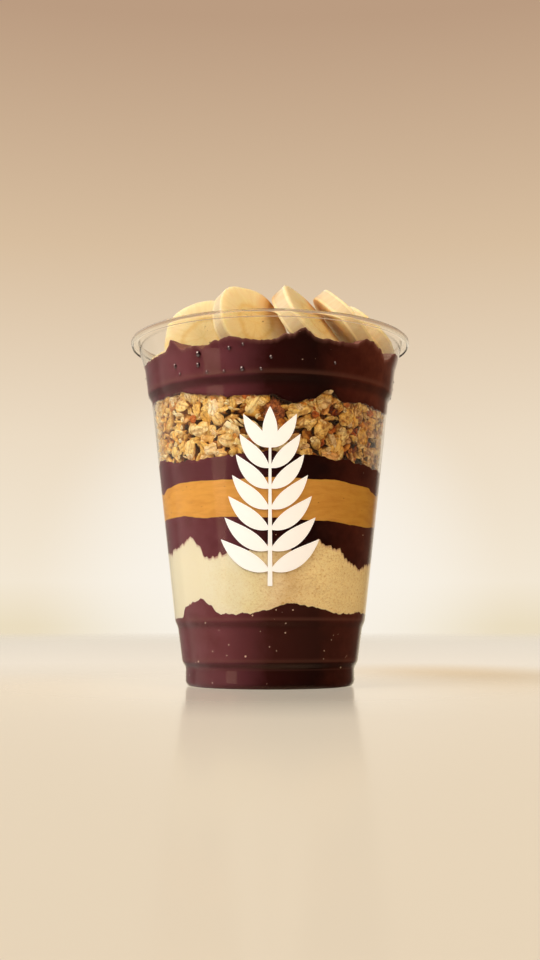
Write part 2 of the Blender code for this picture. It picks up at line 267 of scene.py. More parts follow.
backdrop = add("ValToRGB", ray_parts.outputs["Z"], stops=[
    (0.0, "EBDDC0"), (0.035, "F3E7D3"), (0.15, "ECDBC3"), (0.30, "D8BE9F"), (0.46, "BB9C81"),
])
lit_backdrop = add("Mix", soft_patch(HALO_TOWARDS, 0.98, 1.0, 0.8), backdrop, "FCF7EE")
studio = add("ValToRGB", add("MapRange", towards(BRIGHT_SIDE), -1.0, 1.0), stops=[
    (0.0, (0.035, 0.022, 0.012, 1.0)), (0.26, (0.065, 0.045, 0.030, 1.0)),
    (0.52, (0.16, 0.125, 0.095, 1.0)), (0.74, (0.50, 0.44, 0.37, 1.0)), (0.95, (0.92, 0.86, 0.78, 1.0)),
])
straight_behind = add("MapRange.SMOOTHSTEP", ray_parts.outputs["Y"], 0.79, 0.97)
studio_and_back = add("Mix", straight_behind, studio, lit_backdrop)
dim_share = soft_patch(DIM_GAP_TOWARDS, 0.885, 0.965, 0.78)
with_gap = add("Mix", dim_share, studio_and_back, (0.22, 0.19, 0.16, 1.0))
straight_down = add("MapRange.SMOOTHSTEP", ray_parts.outputs["Z"], -0.60, -0.85)
with_table = add("Mix", straight_down, with_gap, "D8C7AE")
windows = add(
    "Math.ADD",
    soft_patch(SOFTBOX_TOWARDS, 0.955, 0.975, SOFTBOX_STRENGTH),
    soft_patch(LOW_WINDOW_TOWARDS, 0.984, 0.994, LOW_WINDOW_STRENGTH),
)
window_light = add("VectorMath.SCALE", colour("FFF6EA")[:3], windows)
whole_studio = add("VectorMath.ADD", with_table, window_light)

path = add("LightPath")
seen = add("Math.MAXIMUM", path.outputs["Is Camera Ray"], path.outputs["Is Transmission Ray"])
not_yet_scattered = add("Math.LESS_THAN", path.outputs["Diffuse Depth"], 0.5)
seen_straight = add("Math.MULTIPLY", seen, not_yet_scattered)
sky = add("Mix", seen_straight, whole_studio, lit_backdrop)
add("OutputWorld", add("Background", sky, Strength=1.0))
print("world ready, bright towards", BRIGHT_SIDE)

# %% [markdown]
# ## The lamps
# The soft glow alone gives no direction to the shadows between the oats. One big square lamp,
# high on the left and a little in front, does. A weaker, amber one opens the shadows on the
# right. The lamps aren't seen themselves, and the wall doesn't mirror them; only their light
# falls on things.

# %% Add the key lamp and the fill lamp
LAMP_AIM = Vector((0.0, 0.0, 0.06))


def lamp(name, place, size, power, tint):
    """A square soft lamp that looks at the cup."""
    bpy.ops.object.light_add(type="AREA", location=place)
    made = bpy.context.object
    made.name = name
    made.data.size = size
    made.data.energy = power
    made.data.color = colour(tint)[:3]
    made.rotation_mode = "QUATERNION"
    made.rotation_quaternion = (LAMP_AIM - Vector(place)).to_track_quat("-Z", "Y")
    made.visible_camera = False
    made.visible_glossy = False
    made.visible_transmission = False
    print(name, power, "W,", round(Vector(place).length, 2), "m away")


lamp("key_lamp", (-0.50, -0.34, 0.58), 0.42, 3.2, "FFF4E6")
lamp("fill_lamp", (0.42, -0.52, 0.34), 0.50, 3.0, "FFDDB0")

# %% [markdown]
# ## The table
# The cup stands on a satin board that mirrors its foot faintly and blurs into the backdrop far
# away. A disc is enough: its material is a matt paint with a share of soft mirror, strongest
# round the foot, and it fades out with distance so that no hard horizon shows. The studio lights
# it evenly, so most of its brightness is a steady glow, and the rest takes the lamps' light and
# the soft shadow. On the right of the foot a warm patch of painted light stands for light that
# came through the food.
# The plastic mirrors the dim studio and not the table, so the dark food behind it stays dark.

# %% Make the table and its satin paint
TABLE_RADIUS = 3.5
FADE_FROM = 0.7
FADE_TO = 3.4
MATT_SHARE = 0.30
GLOW = 0.72
MIRROR_BY_DISTANCE = (
    (0.07, 0.50), (0.095, 0.42), (0.15, 0.19), (0.20, 0.14), (0.28, 0.04), (0.5, 0.04),
)

table_paint, add, place = new_material("satin_painted_board")
away = add("VectorMath.LENGTH", place)
faded = add("MapRange.SMOOTHSTEP", away, FADE_FROM, FADE_TO)
depth = add("SeparateXYZ", place).outputs["Y"]
far_share = add("MapRange.SMOOTHSTEP", depth, -0.36, 0.30)
evenly_lit = add("Mix", far_share, "D0C5B1", "F4EBDC")
# Painted light: a warm patch on the board to the right of the foot.
glow_place = add(
    "Mapping", place, vector_type="TEXTURE", Location=(0.078, 0.095, 0.0), Scale=(0.080, 0.180, 1.0),
)
from_glow = add("VectorMath.LENGTH", glow_place)
painted_warm_share = add("MapRange.SMOOTHSTEP", from_glow, 1.0, 0.0, 0.0, 0.75)
painted_warm_patch = add("Mix", painted_warm_share, evenly_lit, "D9B784")
dimmed = tuple(MATT_SHARE * channel for channel in colour("F6EAD6")[:3])
matt = add(
    "BsdfPrincipled", Base_Color=(*dimmed, 1.0), Roughness=0.9, Specular_IOR_Level=0.0,
    Emission_Strength=GLOW, Emission_Color=painted_warm_patch,
)
mirror = add("BsdfGlossy", Color="FFF8EE", Roughness=0.12)
mirror_share = add("ValToRGB", add("Math.DIVIDE", away, TABLE_RADIUS), stops=[
    (reach / TABLE_RADIUS, grey(share)) for reach, share in MIRROR_BY_DISTANCE
])
satin = add("MixShader", mirror_share, matt, mirror)
add("OutputMaterial", add("MixShader", faded, satin, add("BsdfTransparent")))

bpy.ops.mesh.primitive_circle_add(vertices=128, radius=TABLE_RADIUS, fill_type="NGON")
table = bpy.context.object
table.name = "table"
table.data.materials.append(table_paint)
table.visible_glossy = False
table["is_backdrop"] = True
print("table", 2 * TABLE_RADIUS, "m across")

# %% [markdown]
# ## The cup's outline
# A thermoformed cup is one sheet of clear PET, about half a millimetre thick, drawn down over a
# plug: it has a ring foot, two steps that keep stacked cups apart, a long taper, a ledge, and a
# rolled rim. All of that is in its outline, so the outline is written once, as corners from the
# axis out and up, and everything that touches the wall is worked out from it.

# %% Write the outline as corners, and find the wall at any height
WALL = 0.6
RIM_RADIUS = 49.0
CUP_HEIGHT = 120.0
ROLL_OUTER = 1.6
ROLL_INNER = ROLL_OUTER - WALL
ROLL_END_ANGLE = -50.0
CUP_SKIN = (
    (0.0, 2.2),
    (24.0, 1.8),
    (24.9, 0.0),
    (28.0, 0.0),
    (28.9, 1.4),
    (28.9, 6.4),
    (30.1, 8.4),
    (31.65, 19.8),
    (32.6, 22.0),
    (41.4, 97.7),
    (42.8, 100.3),
    (43.9, 108.8),
    (45.6, 114.4),
    (46.4, 118.4),
)
FOOT_CORNER = 3


def wall_radius(height):
    """How far out the cup's outer skin is at a height, above the foot."""
    side = np.array(CUP_SKIN[FOOT_CORNER:])
    return np.interp(height, side[:, 1], side[:, 0])


print("radius at the peanut butter:", round(float(wall_radius(61.0)), 1), "mm")

# %% [markdown]
# ## Turning the cup
# A turned shape could come from a Screw modifier or from the Spin operator. Spin is used, as by
# hand: a plane is merged to one point, the point is extruded along the outline, and the line is
# spun round the axis. Real plastic has no sharp corners, so each corner of the outline is
# rounded first. Inside, the same outline runs a wall's thickness further in.

# %% Round the outline's corners and step it inwards
CORNER_REACH = 0.7
CORNER_STEPS = 4


def rounded(corners):
    """The outline with each inner corner replaced by a short curve."""
    points = [Vector(corner) for corner in corners]
    line = [points[0]]
    for before, here, after in zip(points, points[1:], points[2:]):
        reach = min(CORNER_REACH, 0.4 * (here - before).length, 0.4 * (after - here).length)
        start = here + (before - here).normalized() * reach
        end = here + (after - here).normalized() * reach
        for step in range(CORNER_STEPS + 1):
            share = step / CORNER_STEPS
            line.append(start.lerp(here, share).lerp(here.lerp(end, share), share))
    return line + [points[-1]]


def stepped_in(line, distance):
    """The line moved square to itself, towards the inside of the cup."""
    moved = []
    for index, here in enumerate(line):
        before = line[max(index - 1, 0)]
        after = line[min(index + 1, len(line) - 1)]
        way = (after - before).normalized()
        moved.append(here + Vector((-way.y, way.x)) * distance)
    moved[0].x = 0.0
    return moved


def arc(centre, radius, start, end, steps):
    """Points along an arc, angles in degrees."""
    angles = [math.radians(start + (end - start) * i / steps) for i in range(steps + 1)]
    return [Vector(centre) + radius * Vector((math.cos(a), math.sin(a))) for a in angles]


outside = rounded(CUP_SKIN)
inside = stepped_in(outside, WALL)
roll_centre = (RIM_RADIUS - ROLL_OUTER, CUP_HEIGHT - ROLL_OUTER)
over_rim = arc(roll_centre, ROLL_OUTER, 180.0, ROLL_END_ANGLE, 16)
under_rim = arc(roll_centre, ROLL_INNER, ROLL_END_ANGLE, 180.0, 12)
outline = inside[:-1] + over_rim + under_rim + outside[-2::-1]
print("outline of", len(outline), "points")

# %% Draw the outline point by point and spin it
SPIN_STEPS = 192

bpy.ops.mesh.primitive_plane_add(size=0.01)
cup = bpy.context.object
cup.name = "tumbler"
bpy.ops.object.mode_set(mode="EDIT")
bpy.ops.mesh.merge(type="CENTER")
start = Vector((outline[0].x * MM, 0.0, outline[0].y * MM))
bpy.ops.transform.translate(value=start)
for here, after in zip(outline, outline[1:]):
    step = Vector(((after.x - here.x) * MM, 0.0, (after.y - here.y) * MM))
    bpy.ops.mesh.extrude_region_move(TRANSFORM_OT_translate={"value": step})
bpy.ops.mesh.select_all(action="SELECT")
bpy.ops.mesh.spin(steps=SPIN_STEPS, angle=2 * math.pi, center=(0, 0, 0), axis=(0, 0, 1))
bpy.ops.mesh.select_all(action="SELECT")
bpy.ops.mesh.remove_doubles(threshold=0.00001)
bpy.ops.mesh.normals_make_consistent(inside=False)
bpy.ops.object.mode_set(mode="OBJECT")
print("tumbler:", len(cup.data.polygons), "faces, top at", round(read_points(cup)[:, 2].max(), 1))

# %% [markdown]
# ## Clear PET
# The sheet is PET: a clear plastic with a very smooth skin. Stretching it over the plug leaves it
# faintly wavy, so the bright edges in it wander a little. It is set to bend light less than PET
# does, because so thin a sheet mirrors less than thick plastic seems to, and what it mirrors
# straight on is tinted warm, as the room in front of it is. Light that only casts shadows is let
# through, because a clear cup throws almost none and the search for bent light paths would fill
# the picture with grain.

# %% Make the clear plastic
PET_IOR = 1.36
PET_WAVE = 9.0

pet, add, place = new_material("thermoformed_pet")
stretch = add("Mapping", place, Scale=(1.0, 1.0, 0.45))
wavy = add("TexNoise", stretch, Scale=per_mm(PET_WAVE), Detail=1.0)
waves = add("Bump", Strength=0.12, Distance=0.25 * MM, Height=wavy)
plastic = add(
    "BsdfPrincipled", Base_Color="FFFDF8", Roughness=0.02, IOR=PET_IOR, Specular_Tint="FFDCBC",
    Transmission_Weight=1.0, Normal=waves,
)
shadow_ray = add("LightPath").outputs["Is Shadow Ray"]
let_through = add("BsdfTransparent", "F8F5EE")
pet_skin = add("MixShader", shadow_ray, plastic, let_through)
add("OutputMaterial", pet_skin)
finish_piece(cup, pet, "clear_plastic", "cup", angle=30.0)

# %% [markdown]
# ## Where one layer meets the next
# Each layer's upper edge shows as a line on the wall, and that line is most of what the eye
# reads: the powdered milk ends in crumbs, the peanut butter in slow waves. In front, each line
# goes through a few given heights. Round the back it goes on with crests of the same
# size from a seeded rule, the one that the plain solids use. Small ripples give the edge
# its grain, and each layer below reads the same line as the layer above, so no gap opens.

# %% Draw a line round the cup
AROUND = 720
ANGLES = (np.arange(AROUND) * 360.0 / AROUND + 180.0) % 360.0 - 180.0
TURNS = np.radians(ANGLES)
FRONT_ENDS, BACK_STARTS = 74.0, 92.0
FAR_SIDE = (92, 268)
FAR_CRESTS = 7
MIDDLE_RADIUS = 38.0


def smooth(share):
    """A share from 0 to 1, with a slow start and end."""
    return share * share * (3.0 - 2.0 * share)


def eased(knots, angles):
    """Heights between the knots, with a slow start and end at each knot."""
    at, heights = np.array(knots, dtype=float).T
    place = np.interp(angles, at, np.arange(len(at)))
    left = np.clip(np.floor(place).astype(int), 0, len(at) - 2)
    return heights[left] + (heights[left + 1] - heights[left]) * smooth(place - left)


def far_line(edge, tallest):
    """The line on the far side: a level edge with seeded crests."""
    draw = random.Random(round(edge * 10))
    step = (FAR_SIDE[1] - FAR_SIDE[0]) / FAR_CRESTS
    heights = np.full(AROUND, edge)
    for i in range(FAR_CRESTS):
        middle = FAR_SIDE[0] + step * (i + draw.uniform(0.3, 0.7))
        half_width = draw.uniform(0.5, 0.95) * step
        rise = draw.uniform(-0.7, 0.7) * tallest
        gap = np.abs((ANGLES - middle + 180.0) % 360.0 - 180.0) / half_width
        heights += rise * np.clip(1.0 - gap, 0.0, None) ** 1.2
    return heights


def ripple(size, seed):
    """A smooth random wave round the cup, from about -1 to 1, with waves of this many mm."""
    spots = [Vector((math.sin(t), -math.cos(t), 0)) * MIDDLE_RADIUS / size for t in TURNS]
    return np.array([noise.noise(spot + Vector((0, 0, seed))) for spot in spots])


def edge_line(knots, edge, tallest, grains):
    """The whole line: chosen heights in front, the rule behind, and ripples all round."""
    front = eased(knots, ANGLES)
    back = far_line(edge, tallest)
    share = smooth(np.clip((np.abs(ANGLES) - FRONT_ENDS) / (BACK_STARTS - FRONT_ENDS), 0.0, 1.0))
    line = front * (1.0 - share) + back * share
    for seed, (size, height) in enumerate(grains):
        line = line + height * ripple(size, edge + 3.7 * seed)
    return line


print(AROUND, "points round the cup, one each", round(2 * math.pi * MIDDLE_RADIUS / AROUND, 2), "mm")

# %% Choose the heights of the six lines and of the crown's edge
BASE_LINE = edge_line(
    [(-76, 22.7), (-64, 23.0), (-57, 26.6), (-49, 28.0), (-42, 29.1), (-36, 27.2), (-31, 24.3),
     (-14, 24.3), (0, 25.4), (10, 27.3), (20, 26.7), (36, 24.9), (50, 23.9), (63, 25.0), (76, 24.4)],
    24.7, 4.4, [(5.0, 0.55), (1.6, 0.5), (0.9, 0.3)],
)
MILK_LINE = edge_line(
    [(-76, 44.7), (-60, 46.2), (-53, 47.6), (-48, 49.5), (-42, 46.6), (-37, 42.3), (-29, 43.0),
     (-20, 44.5), (-13, 44.1), (-7, 44.6), (0, 46.2), (4, 44.9), (8, 45.4), (13, 44.2), (22, 45.4),
     (24, 45.6), (26, 48.0), (28, 46.7), (34, 45.9), (39, 45.2), (46, 42.0), (50, 41.0),
     (58, 39.0), (69, 41.0), (80, 41.0)],
    44.3, 6.0, [(3.2, 0.8), (1.4, 0.95), (0.8, 0.75)],
)
SECOND_LINE = edge_line(
    [(-77, 56.3), (-50, 56.3), (-40, 55.6), (-34, 55.0), (0, 54.9), (34, 53.8), (48, 53.2),
     (60, 53.0), (73, 53.7)],
    55.7, 2.6, [(9.0, 0.4), (2.0, 0.16)],
)
PEANUT_LINE = edge_line(
    [(-75, 64.7), (-66, 66.2), (-50, 67.2), (-20, 67.0), (6, 67.5), (30, 67.2), (46, 66.6),
     (60, 66.2), (66, 64.9), (76, 64.2)],
    67.1, 3.4, [(9.0, 0.35), (2.4, 0.12)],
)
THIRD_LINE = edge_line(
    [(-76, 76.2), (-50, 73.8), (-36, 74.2), (-19, 75.1), (0, 75.5), (25, 75.0), (36, 74.0),
     (50, 73.8), (67, 72.7)],
    74.6, 1.8, [(5.0, 0.8), (1.8, 0.6)],
)
GRANOLA_LINE = edge_line(
    [(-73, 96.3), (-59, 96.2), (-46, 96.4), (-34, 95.1), (-18, 93.6), (2, 93.5), (9, 91.4),
     (18, 92.9), (28, 95.4), (37, 92.4), (50, 93.0), (66, 92.9)],
    93.6, 3.0, [(4.0, 0.7), (1.5, 0.5)],
)
CROWN_LINE = edge_line(
    [(-75, 109.9), (-60, 110.0), (-51, 110.6), (-46, 113.6), (-41, 110.2), (-33, 110.4),
     (-30, 109.5), (-23, 111.3), (-16, 112.2), (-4, 110.3), (2, 111.2), (8, 112.5), (14, 114.5),
     (21, 111.6), (30, 111.5), (39, 111.5), (45, 114.0), (55, 112.3), (62, 109.2), (73, 113.0),
     (84, 113.8)],
    110.4, 4.3, [(4.0, 0.45), (1.5, 0.45), (0.8, 0.32)],
)
for name, line in (("milk", MILK_LINE), ("crown", CROWN_LINE)):
    print(name, "line from", round(float(line.min()), 1), "to", round(float(line.max()), 1), "mm")

# %% [markdown]
# ## Pressing a layer against the wall
# A layer is a closed lump: a top, a side that lies against the plastic, and an underside. It
# could be cut from a cylinder, but a sheet of squares is kinder: it is rolled round the axis like
# a label, each of its rows becomes a ring that is pressed to the place it needs, the two rows at
# its ends are drawn together to points, and the seam is merged. Where the food touches the
# plastic, no air shows between them, so the side reaches just into the wall.

# %% Make the press
INTO_WALL = 0.3
SIDE_STEP = 1.0
CAP_SHARES = (0.95, 0.8, 0.5)
CAP_DROP = 0.6


def pressed(name, rings, top, bottom):
    """A sheet rolled up, its rows pressed to the given radii and heights, from the top down."""
    rows = len(rings) + 1
    bpy.ops.mesh.primitive_grid_add(x_subdivisions=AROUND, y_subdivisions=rows, size=1.0)
    piece = bpy.context.object
    piece.name = name
    sheet = read_points(piece) * MM
    column = np.rint((sheet[:, 0] + 0.5) * AROUND).astype(int) % AROUND
    row = np.rint((0.5 - sheet[:, 1]) * rows).astype(int)
    ends = [(0.0, top), *rings, (0.0, bottom)]
    radii = np.array([radius * np.ones(AROUND) for radius, _ in ends])
    heights = np.array([height * np.ones(AROUND) for _, height in ends])
    radius = radii[row, column]
    turn = TURNS[column]
    points = np.stack([radius * np.sin(turn), -radius * np.cos(turn), heights[row, column]], axis=1)
    move_points(piece, points)
    bpy.ops.object.mode_set(mode="EDIT")
    bpy.ops.mesh.select_all(action="SELECT")
    bpy.ops.mesh.remove_doubles(threshold=0.000001)
    bpy.ops.mesh.normals_make_consistent(inside=False)
    bpy.ops.object.mode_set(mode="OBJECT")
    return piece


def side_rings(low, high):
    """Rings down the side from one line to another, close enough to follow the wall."""
    rows = max(3, math.ceil(float((high - low).max()) / SIDE_STEP))
    levels = [high + (low - high) * i / rows for i in range(rows + 1)]
    return [(wall_radius(level) - INTO_WALL, level) for level in levels]


def cap(rim, level):
    """Rings that close a layer from its side inwards."""
    return [(rim * share, level) for share in CAP_SHARES]


def levelling_cap(rim, line, drop=0.0):
    """Rings that close a layer and level its line out on the way in."""
    return [(rim * share, line + (line.mean() - line) * (1 - share) - drop) for share in CAP_SHARES]


def layer(name, low, high):
    """A layer between two lines, with hidden top and underside that level out inside."""
    side = side_rings(low, high)
    above = levelling_cap(side[0][0], high)
    below = levelling_cap(side[-1][0], low, CAP_DROP)
    return pressed(name, above[::-1] + side + below, float(high.mean()), float(low.mean()) - CAP_DROP)


milk = layer("powdered_milk_layer", BASE_LINE, MILK_LINE)
second = layer("second_acai_layer", MILK_LINE, SECOND_LINE)
peanut = layer("peanut_butter_layer", SECOND_LINE, PEANUT_LINE)
print("powdered milk:", len(milk.data.polygons), "faces")

# %% [markdown]
# ## The lowest acai
# The lowest layer fills the foot, down into the channel of the ring that the cup stands on, so
# its underside follows the base of the cup.

# %% Fill the foot
FOOT_RINGS = [(27.7, 0.35), (25.2, 0.35), (24.3, 2.1), (12.0, 2.35)]
FOOT_MIDDLE = 2.45
FOOT_FLOOR = 1.2

base_side = side_rings(np.full(AROUND, FOOT_FLOOR), BASE_LINE)
base_rings = levelling_cap(base_side[0][0], BASE_LINE)[::-1] + base_side + FOOT_RINGS
base = pressed("lowest_acai_layer", base_rings, float(BASE_LINE.mean()), FOOT_MIDDLE)
print("lowest acai from", round(read_points(base)[:, 2].min(), 2), "mm up")

# %% [markdown]
# ## The acai round the granola
# Where acai meets granola, the flakes push into it and stand in front of it. So here the acai's
# edge is rounded over its last millimetre, and the flakes can lie over it.

# %% Round off the edges that meet the granola
EDGE_ROUND = 1.0
EDGE_BACK = 0.35


def rounded_side(low, high, round_top, round_low):
    """Side rings that draw back from the wall near an edge that meets the granola."""
    rings = []
    for radius, level in side_rings(low, high):
        from_top = np.clip(1.0 - (high - level) / EDGE_ROUND, 0.0, 1.0) * round_top
        from_low = np.clip(1.0 - (level - low) / EDGE_ROUND, 0.0, 1.0) * round_low
        rings.append((radius - EDGE_BACK * (from_top**2 + from_low**2), level))
    return rings


third_side = rounded_side(PEANUT_LINE, THIRD_LINE, 1.0, 0.0)
third_top = cap(third_side[0][0], THIRD_LINE)[::-1]
third_sole = cap(third_side[-1][0], PEANUT_LINE - CAP_DROP)
third = pressed(
    "third_acai_layer",
    third_top + third_side + third_sole,
    float(THIRD_LINE.mean()),
    float(PEANUT_LINE.mean()) - CAP_DROP,
)
print("third acai:", len(third.data.polygons), "faces")

# %% [markdown]
# ## The crown of acai
# The top layer is seen from above too, between the slices, so its top is a real surface: it
# swells towards the middle, climbs the wall in peaks, and is rough like any frozen puree that
# was spooned. Rings close together carry that relief, and noise in three sizes shapes it.

# %% Shape the crown
CROWN_MIDDLE = 113.5
CROWN_RINGS = 44
CROWN_BUMPS = ((14.0, 1.1), (5.0, 0.5), (1.8, 0.28))
BUMPS_FADE = 12.0


def crown_ring(share):
    """A ring on the crown's top, at a share of the way out to the wall."""
    level = CROWN_MIDDLE + (CROWN_LINE - CROWN_MIDDLE) * share**3
    radius = (wall_radius(level) - INTO_WALL) * share
    fading = min(1.0, (1.0 - share) * BUMPS_FADE)
    for size, height in CROWN_BUMPS:
        bumps = np.array([noise.noise(Vector((r * math.sin(t), -r * math.cos(t), 5.0 * height)) / size)
                          for r, t in zip(radius, TURNS)])
        level = level + bumps * height * fading
    return radius, level


crown_top = [crown_ring(i / CROWN_RINGS) for i in range(1, CROWN_RINGS + 1)]
crown_side = rounded_side(GRANOLA_LINE, CROWN_LINE, 0.0, 1.0)[1:]
crown_sole = cap(crown_side[-1][0], GRANOLA_LINE)
crown = pressed(
    "crown_of_acai",
    crown_top + crown_side + crown_sole,
    float(crown_top[0][1].mean()),
    float(GRANOLA_LINE.mean()),
)
print("crown:", len(crown.data.polygons), "faces")

# %% [markdown]
# ## Frozen acai puree
# Acai is a dark purple berry pulp, blended frozen to a thick sorbet. It is smooth and dense, so
# it takes light only a little way in, and behind the plastic it looks wet and almost black where
# the light misses it. It holds fine ice, pale specks of starch and tiny trapped bubbles. Painted
# light makes it paler and pinker towards the lit left side, darkest in the middle and a little
# lighter again at the right edge. Where a step of the wall leans out over it the puree gets
# painted shade, and the rounded corner above the step a painted highlight; the foot and the acai
# between the peanut butter and the granola are painted a little darker the same way. The lowest
# layer gets a little painted light added, and the crown's upper fringe melts thin on the plastic,
# which the points keep as a share.

# %% Make the acai
ICE_SPECK = 2.6
PUREE_CLOUD = 9.0
PUREE_GRAIN = 0.9
PAINTED_SIDE_REACH = 0.045
PAINTED_TONES_BY_HEIGHT = (
    (0.0, 0.46), (5.6, 0.46), (6.4, 0.60), (7.2, 0.30), (8.2, 0.38), (8.9, 0.64), (10.0, 0.50),
    (19.3, 0.50), (20.6, 0.32), (21.6, 0.38), (22.3, 0.66), (23.4, 0.50),
    (64.0, 0.50), (68.0, 0.41), (75.0, 0.41), (78.0, 0.50),
    (96.4, 0.50), (98.0, 0.30), (99.6, 0.28), (100.7, 0.66), (102.2, 0.50),
)
STEP_TOP = 125.0
PAINTED_LOW_LIGHT = ((0.0, 0.0), (8.3, 0.0), (9.2, 1.0), (26.0, 1.0), (30.0, 0.0))
MELT_DEPTH = 1.1


def note_below_edge(piece, name, line, depth):
    """Notes on the points how close each lies below a line: 1 at the line, 0 from this many mm on."""
    points = read_points(piece)
    turn = np.degrees(np.arctan2(points[:, 0], -points[:, 1])) % 360.0
    edge = np.interp(turn, ANGLES % 360.0, line)
    note_on_points(piece, name, np.clip(1.0 - (edge - points[:, 2]) / depth, 0.0, 1.0))


def marked(paint, share, pattern, stops):
    """A paint multiplied, by a share, with the tones that a pattern picks."""
    return add("Mix.MULTIPLY", share, paint, add("ValToRGB", pattern, stops=stops))


acai, add, place = new_material("frozen_acai_puree")
parts = add("SeparateXYZ", place)
cloud = add("TexNoise", place, Scale=per_mm(PUREE_CLOUD), Detail=5.0, Roughness=0.65)
drifting = add("Math.MULTIPLY_ADD", cloud, 0.016, -0.008)
across = add("Math.ADD", parts.outputs["X"], drifting)
# Painted light across the puree: pale and pink on the lit left, dark in the middle, lighter at the
# right edge.
painted_side_share = add("MapRange", across, -PAINTED_SIDE_REACH, PAINTED_SIDE_REACH)
painted_side_light = add("ValToRGB", painted_side_share, stops=[
    (0.10, "763745"), (0.34, "703C4A"), (0.51, "2C0708"), (0.66, "1C0302"), (0.82, "4A1F18"),
    (1.0, "6F3A2D"),
])
clouded = marked(painted_side_light, 1.0, cloud, [(0.30, "D8C6C6"), (0.65, "FFFFFF")])
level = add("Math.DIVIDE", parts.outputs["Z"], STEP_TOP * MM)
# Painted shade under the wall's steps and painted highlights on the corners above them; the foot and
# the acai under the granola are darkened a little too.
painted_tone_by_height = add("ValToRGB", level, stops=[(up / STEP_TOP, grey(tone)) for up, tone in PAINTED_TONES_BY_HEIGHT])
painted_shade_share = add("MapRange", painted_tone_by_height, 0.5, 0.0)
painted_highlight_share = add("MapRange", painted_tone_by_height, 0.5, 1.0)
with_painted_shade = add("Mix", painted_shade_share, clouded, "120302")
puree = add("Mix", painted_highlight_share, with_painted_shade, "7D554B")
# Painted light added on the lowest layer.
low = add("ValToRGB", level, stops=[(up / STEP_TOP, grey(share)) for up, share in PAINTED_LOW_LIGHT])
with_painted_low_light = add("Mix.ADD", low, puree, "2B1715")
melt = add("Attribute", attribute_name="melt").outputs["Fac"]
melt_share = add("Math.MULTIPLY", melt, cloud)
melted = add("Mix", melt_share, with_painted_low_light, "9A6A66")
cells = add("TexVoronoi", place, Scale=per_mm(ICE_SPECK), Randomness=1.0)
lot = add("SeparateColor", cells.outputs["Color"])
reach = add("MapRange", lot, 0.30, 1.0, 0.0, 0.12)
low_share = add("MapRange", parts.outputs["Z"], 0.030, 0.060, 1.0, 0.45)
own_reach = add("Math.MULTIPLY", reach, low_share)
speck = add("Math.LESS_THAN", cells.outputs["Distance"], own_reach)
dotted = add("Mix", speck, melted, "E9CDB8")
grain = add("TexNoise", place, Scale=per_mm(PUREE_GRAIN), Detail=3.0)
rough = add("MapRange", grain, To_Min=0.35, To_Max=0.6)
bumps = add("Bump", Strength=0.05, Distance=0.1 * MM, Height=grain)
shader = add(
    "BsdfPrincipled", IOR=1.38, Specular_IOR_Level=0.12, Subsurface_Weight=0.05,
    Subsurface_Radius=(1.0, 0.25, 0.3), Subsurface_Scale=0.6 * MM, Base_Color=dotted, Roughness=rough,
    Normal=bumps,
)
add("OutputMaterial", shader)
note_below_edge(crown, "melt", CROWN_LINE, MELT_DEPTH)
finish_piece(base, acai, "acai", "acai_base")
finish_piece(second, acai, "acai", "acai_second")
finish_piece(third, acai, "acai", "acai_third")
finish_piece(crown, acai, "acai", "acai_top", angle=60.0)

# %% [markdown]
# ## Powdered milk
# Whole milk powder, pressed between two wet layers, is a pale matt cake: nearly smooth where it
# took up moisture, sandy and faintly cracked where it stayed dry, and stained pink along the
# fringe that touches the acai. The dry part lies towards the right, away from the light, and the
# sand there darkens it to tan, partly the powder's grain and partly painted shade. Across the
# side the cake's colour is painted for the way the light falls: cool on the lit left, yellower
# in the middle and lighter again at the far right. The stain is written on the points, by their
# distance from the upper edge, so that it follows every crumb of it.

# %% Make the powdered milk
STAIN_DEPTH = 1.3
MILK_GRAIN = 0.7
MILK_CRACK = 5.0

note_below_edge(milk, "stain", MILK_LINE, STAIN_DEPTH)
milk_powder, add, place = new_material("powdered_milk")
sideways = add("SeparateXYZ", place).outputs["X"]
drift = add("TexNoise", place, Scale=per_mm(14.0), Detail=2.0)
shifted = add("Math.MULTIPLY_ADD", drift, 0.02, -0.01)
across = add("Math.ADD", sideways, shifted)
# Towards the right the powder is drier and sandier; the tan that the sand gives it there is partly
# painted shade.
dry = add("MapRange.SMOOTHSTEP", across, -0.026, 0.006)
share_across = add("MapRange", across, -0.03, 0.03)
# The colour across the side is painted for the way the light falls: cool on the lit left, lighter again
# at the far right.
body = add("ValToRGB", share_across, stops=[
    (0.12, "F0ECD8"), (0.22, "F2F0DE"), (0.36, "ECE6C4"), (0.52, "EEE0C2"), (0.61, "E5D2AA"),
    (0.80, "FFF3CC"),
])
sand = add("TexNoise", place, Scale=per_mm(MILK_GRAIN), Detail=4.0, Roughness=0.7)
sandy = marked(body, dry, sand, [(0.30, "D9BE96"), (0.43, "F9F3E7"), (0.62, "FFFFFF")])
crack_place = add("Mapping", place, Scale=(1.0, 1.0, 2.2))
cracks = add(
    "TexNoise", crack_place, Scale=per_mm(MILK_CRACK), Detail=5.0, Roughness=0.75, Distortion=0.6,
)
near_half = add("Math.SUBTRACT", cracks, 0.5)
apart = add("Math.ABSOLUTE", near_half)
crack = add("MapRange", apart, 0.0, 0.012, 0.5, 0.0)
crack_dry = add("Math.MULTIPLY", crack, dry)
cracked = add("Mix", crack_dry, sandy, "B98C5C")
stain = add("Attribute", attribute_name="stain").outputs["Fac"]
patchy = add("TexNoise", place, Scale=per_mm(1.6), Detail=3.0)
soaked = add("Math.MULTIPLY", stain, patchy)
stain_share = add("MapRange", soaked, 0.12, 0.6, 0.0, 0.8)
stained = add("Mix", stain_share, cracked, "A86F62")
relief = add("Math.MULTIPLY_ADD", crack_dry, -1.5, sand)
bumps = add("Bump", Strength=0.5, Distance=0.15 * MM, Height=relief)
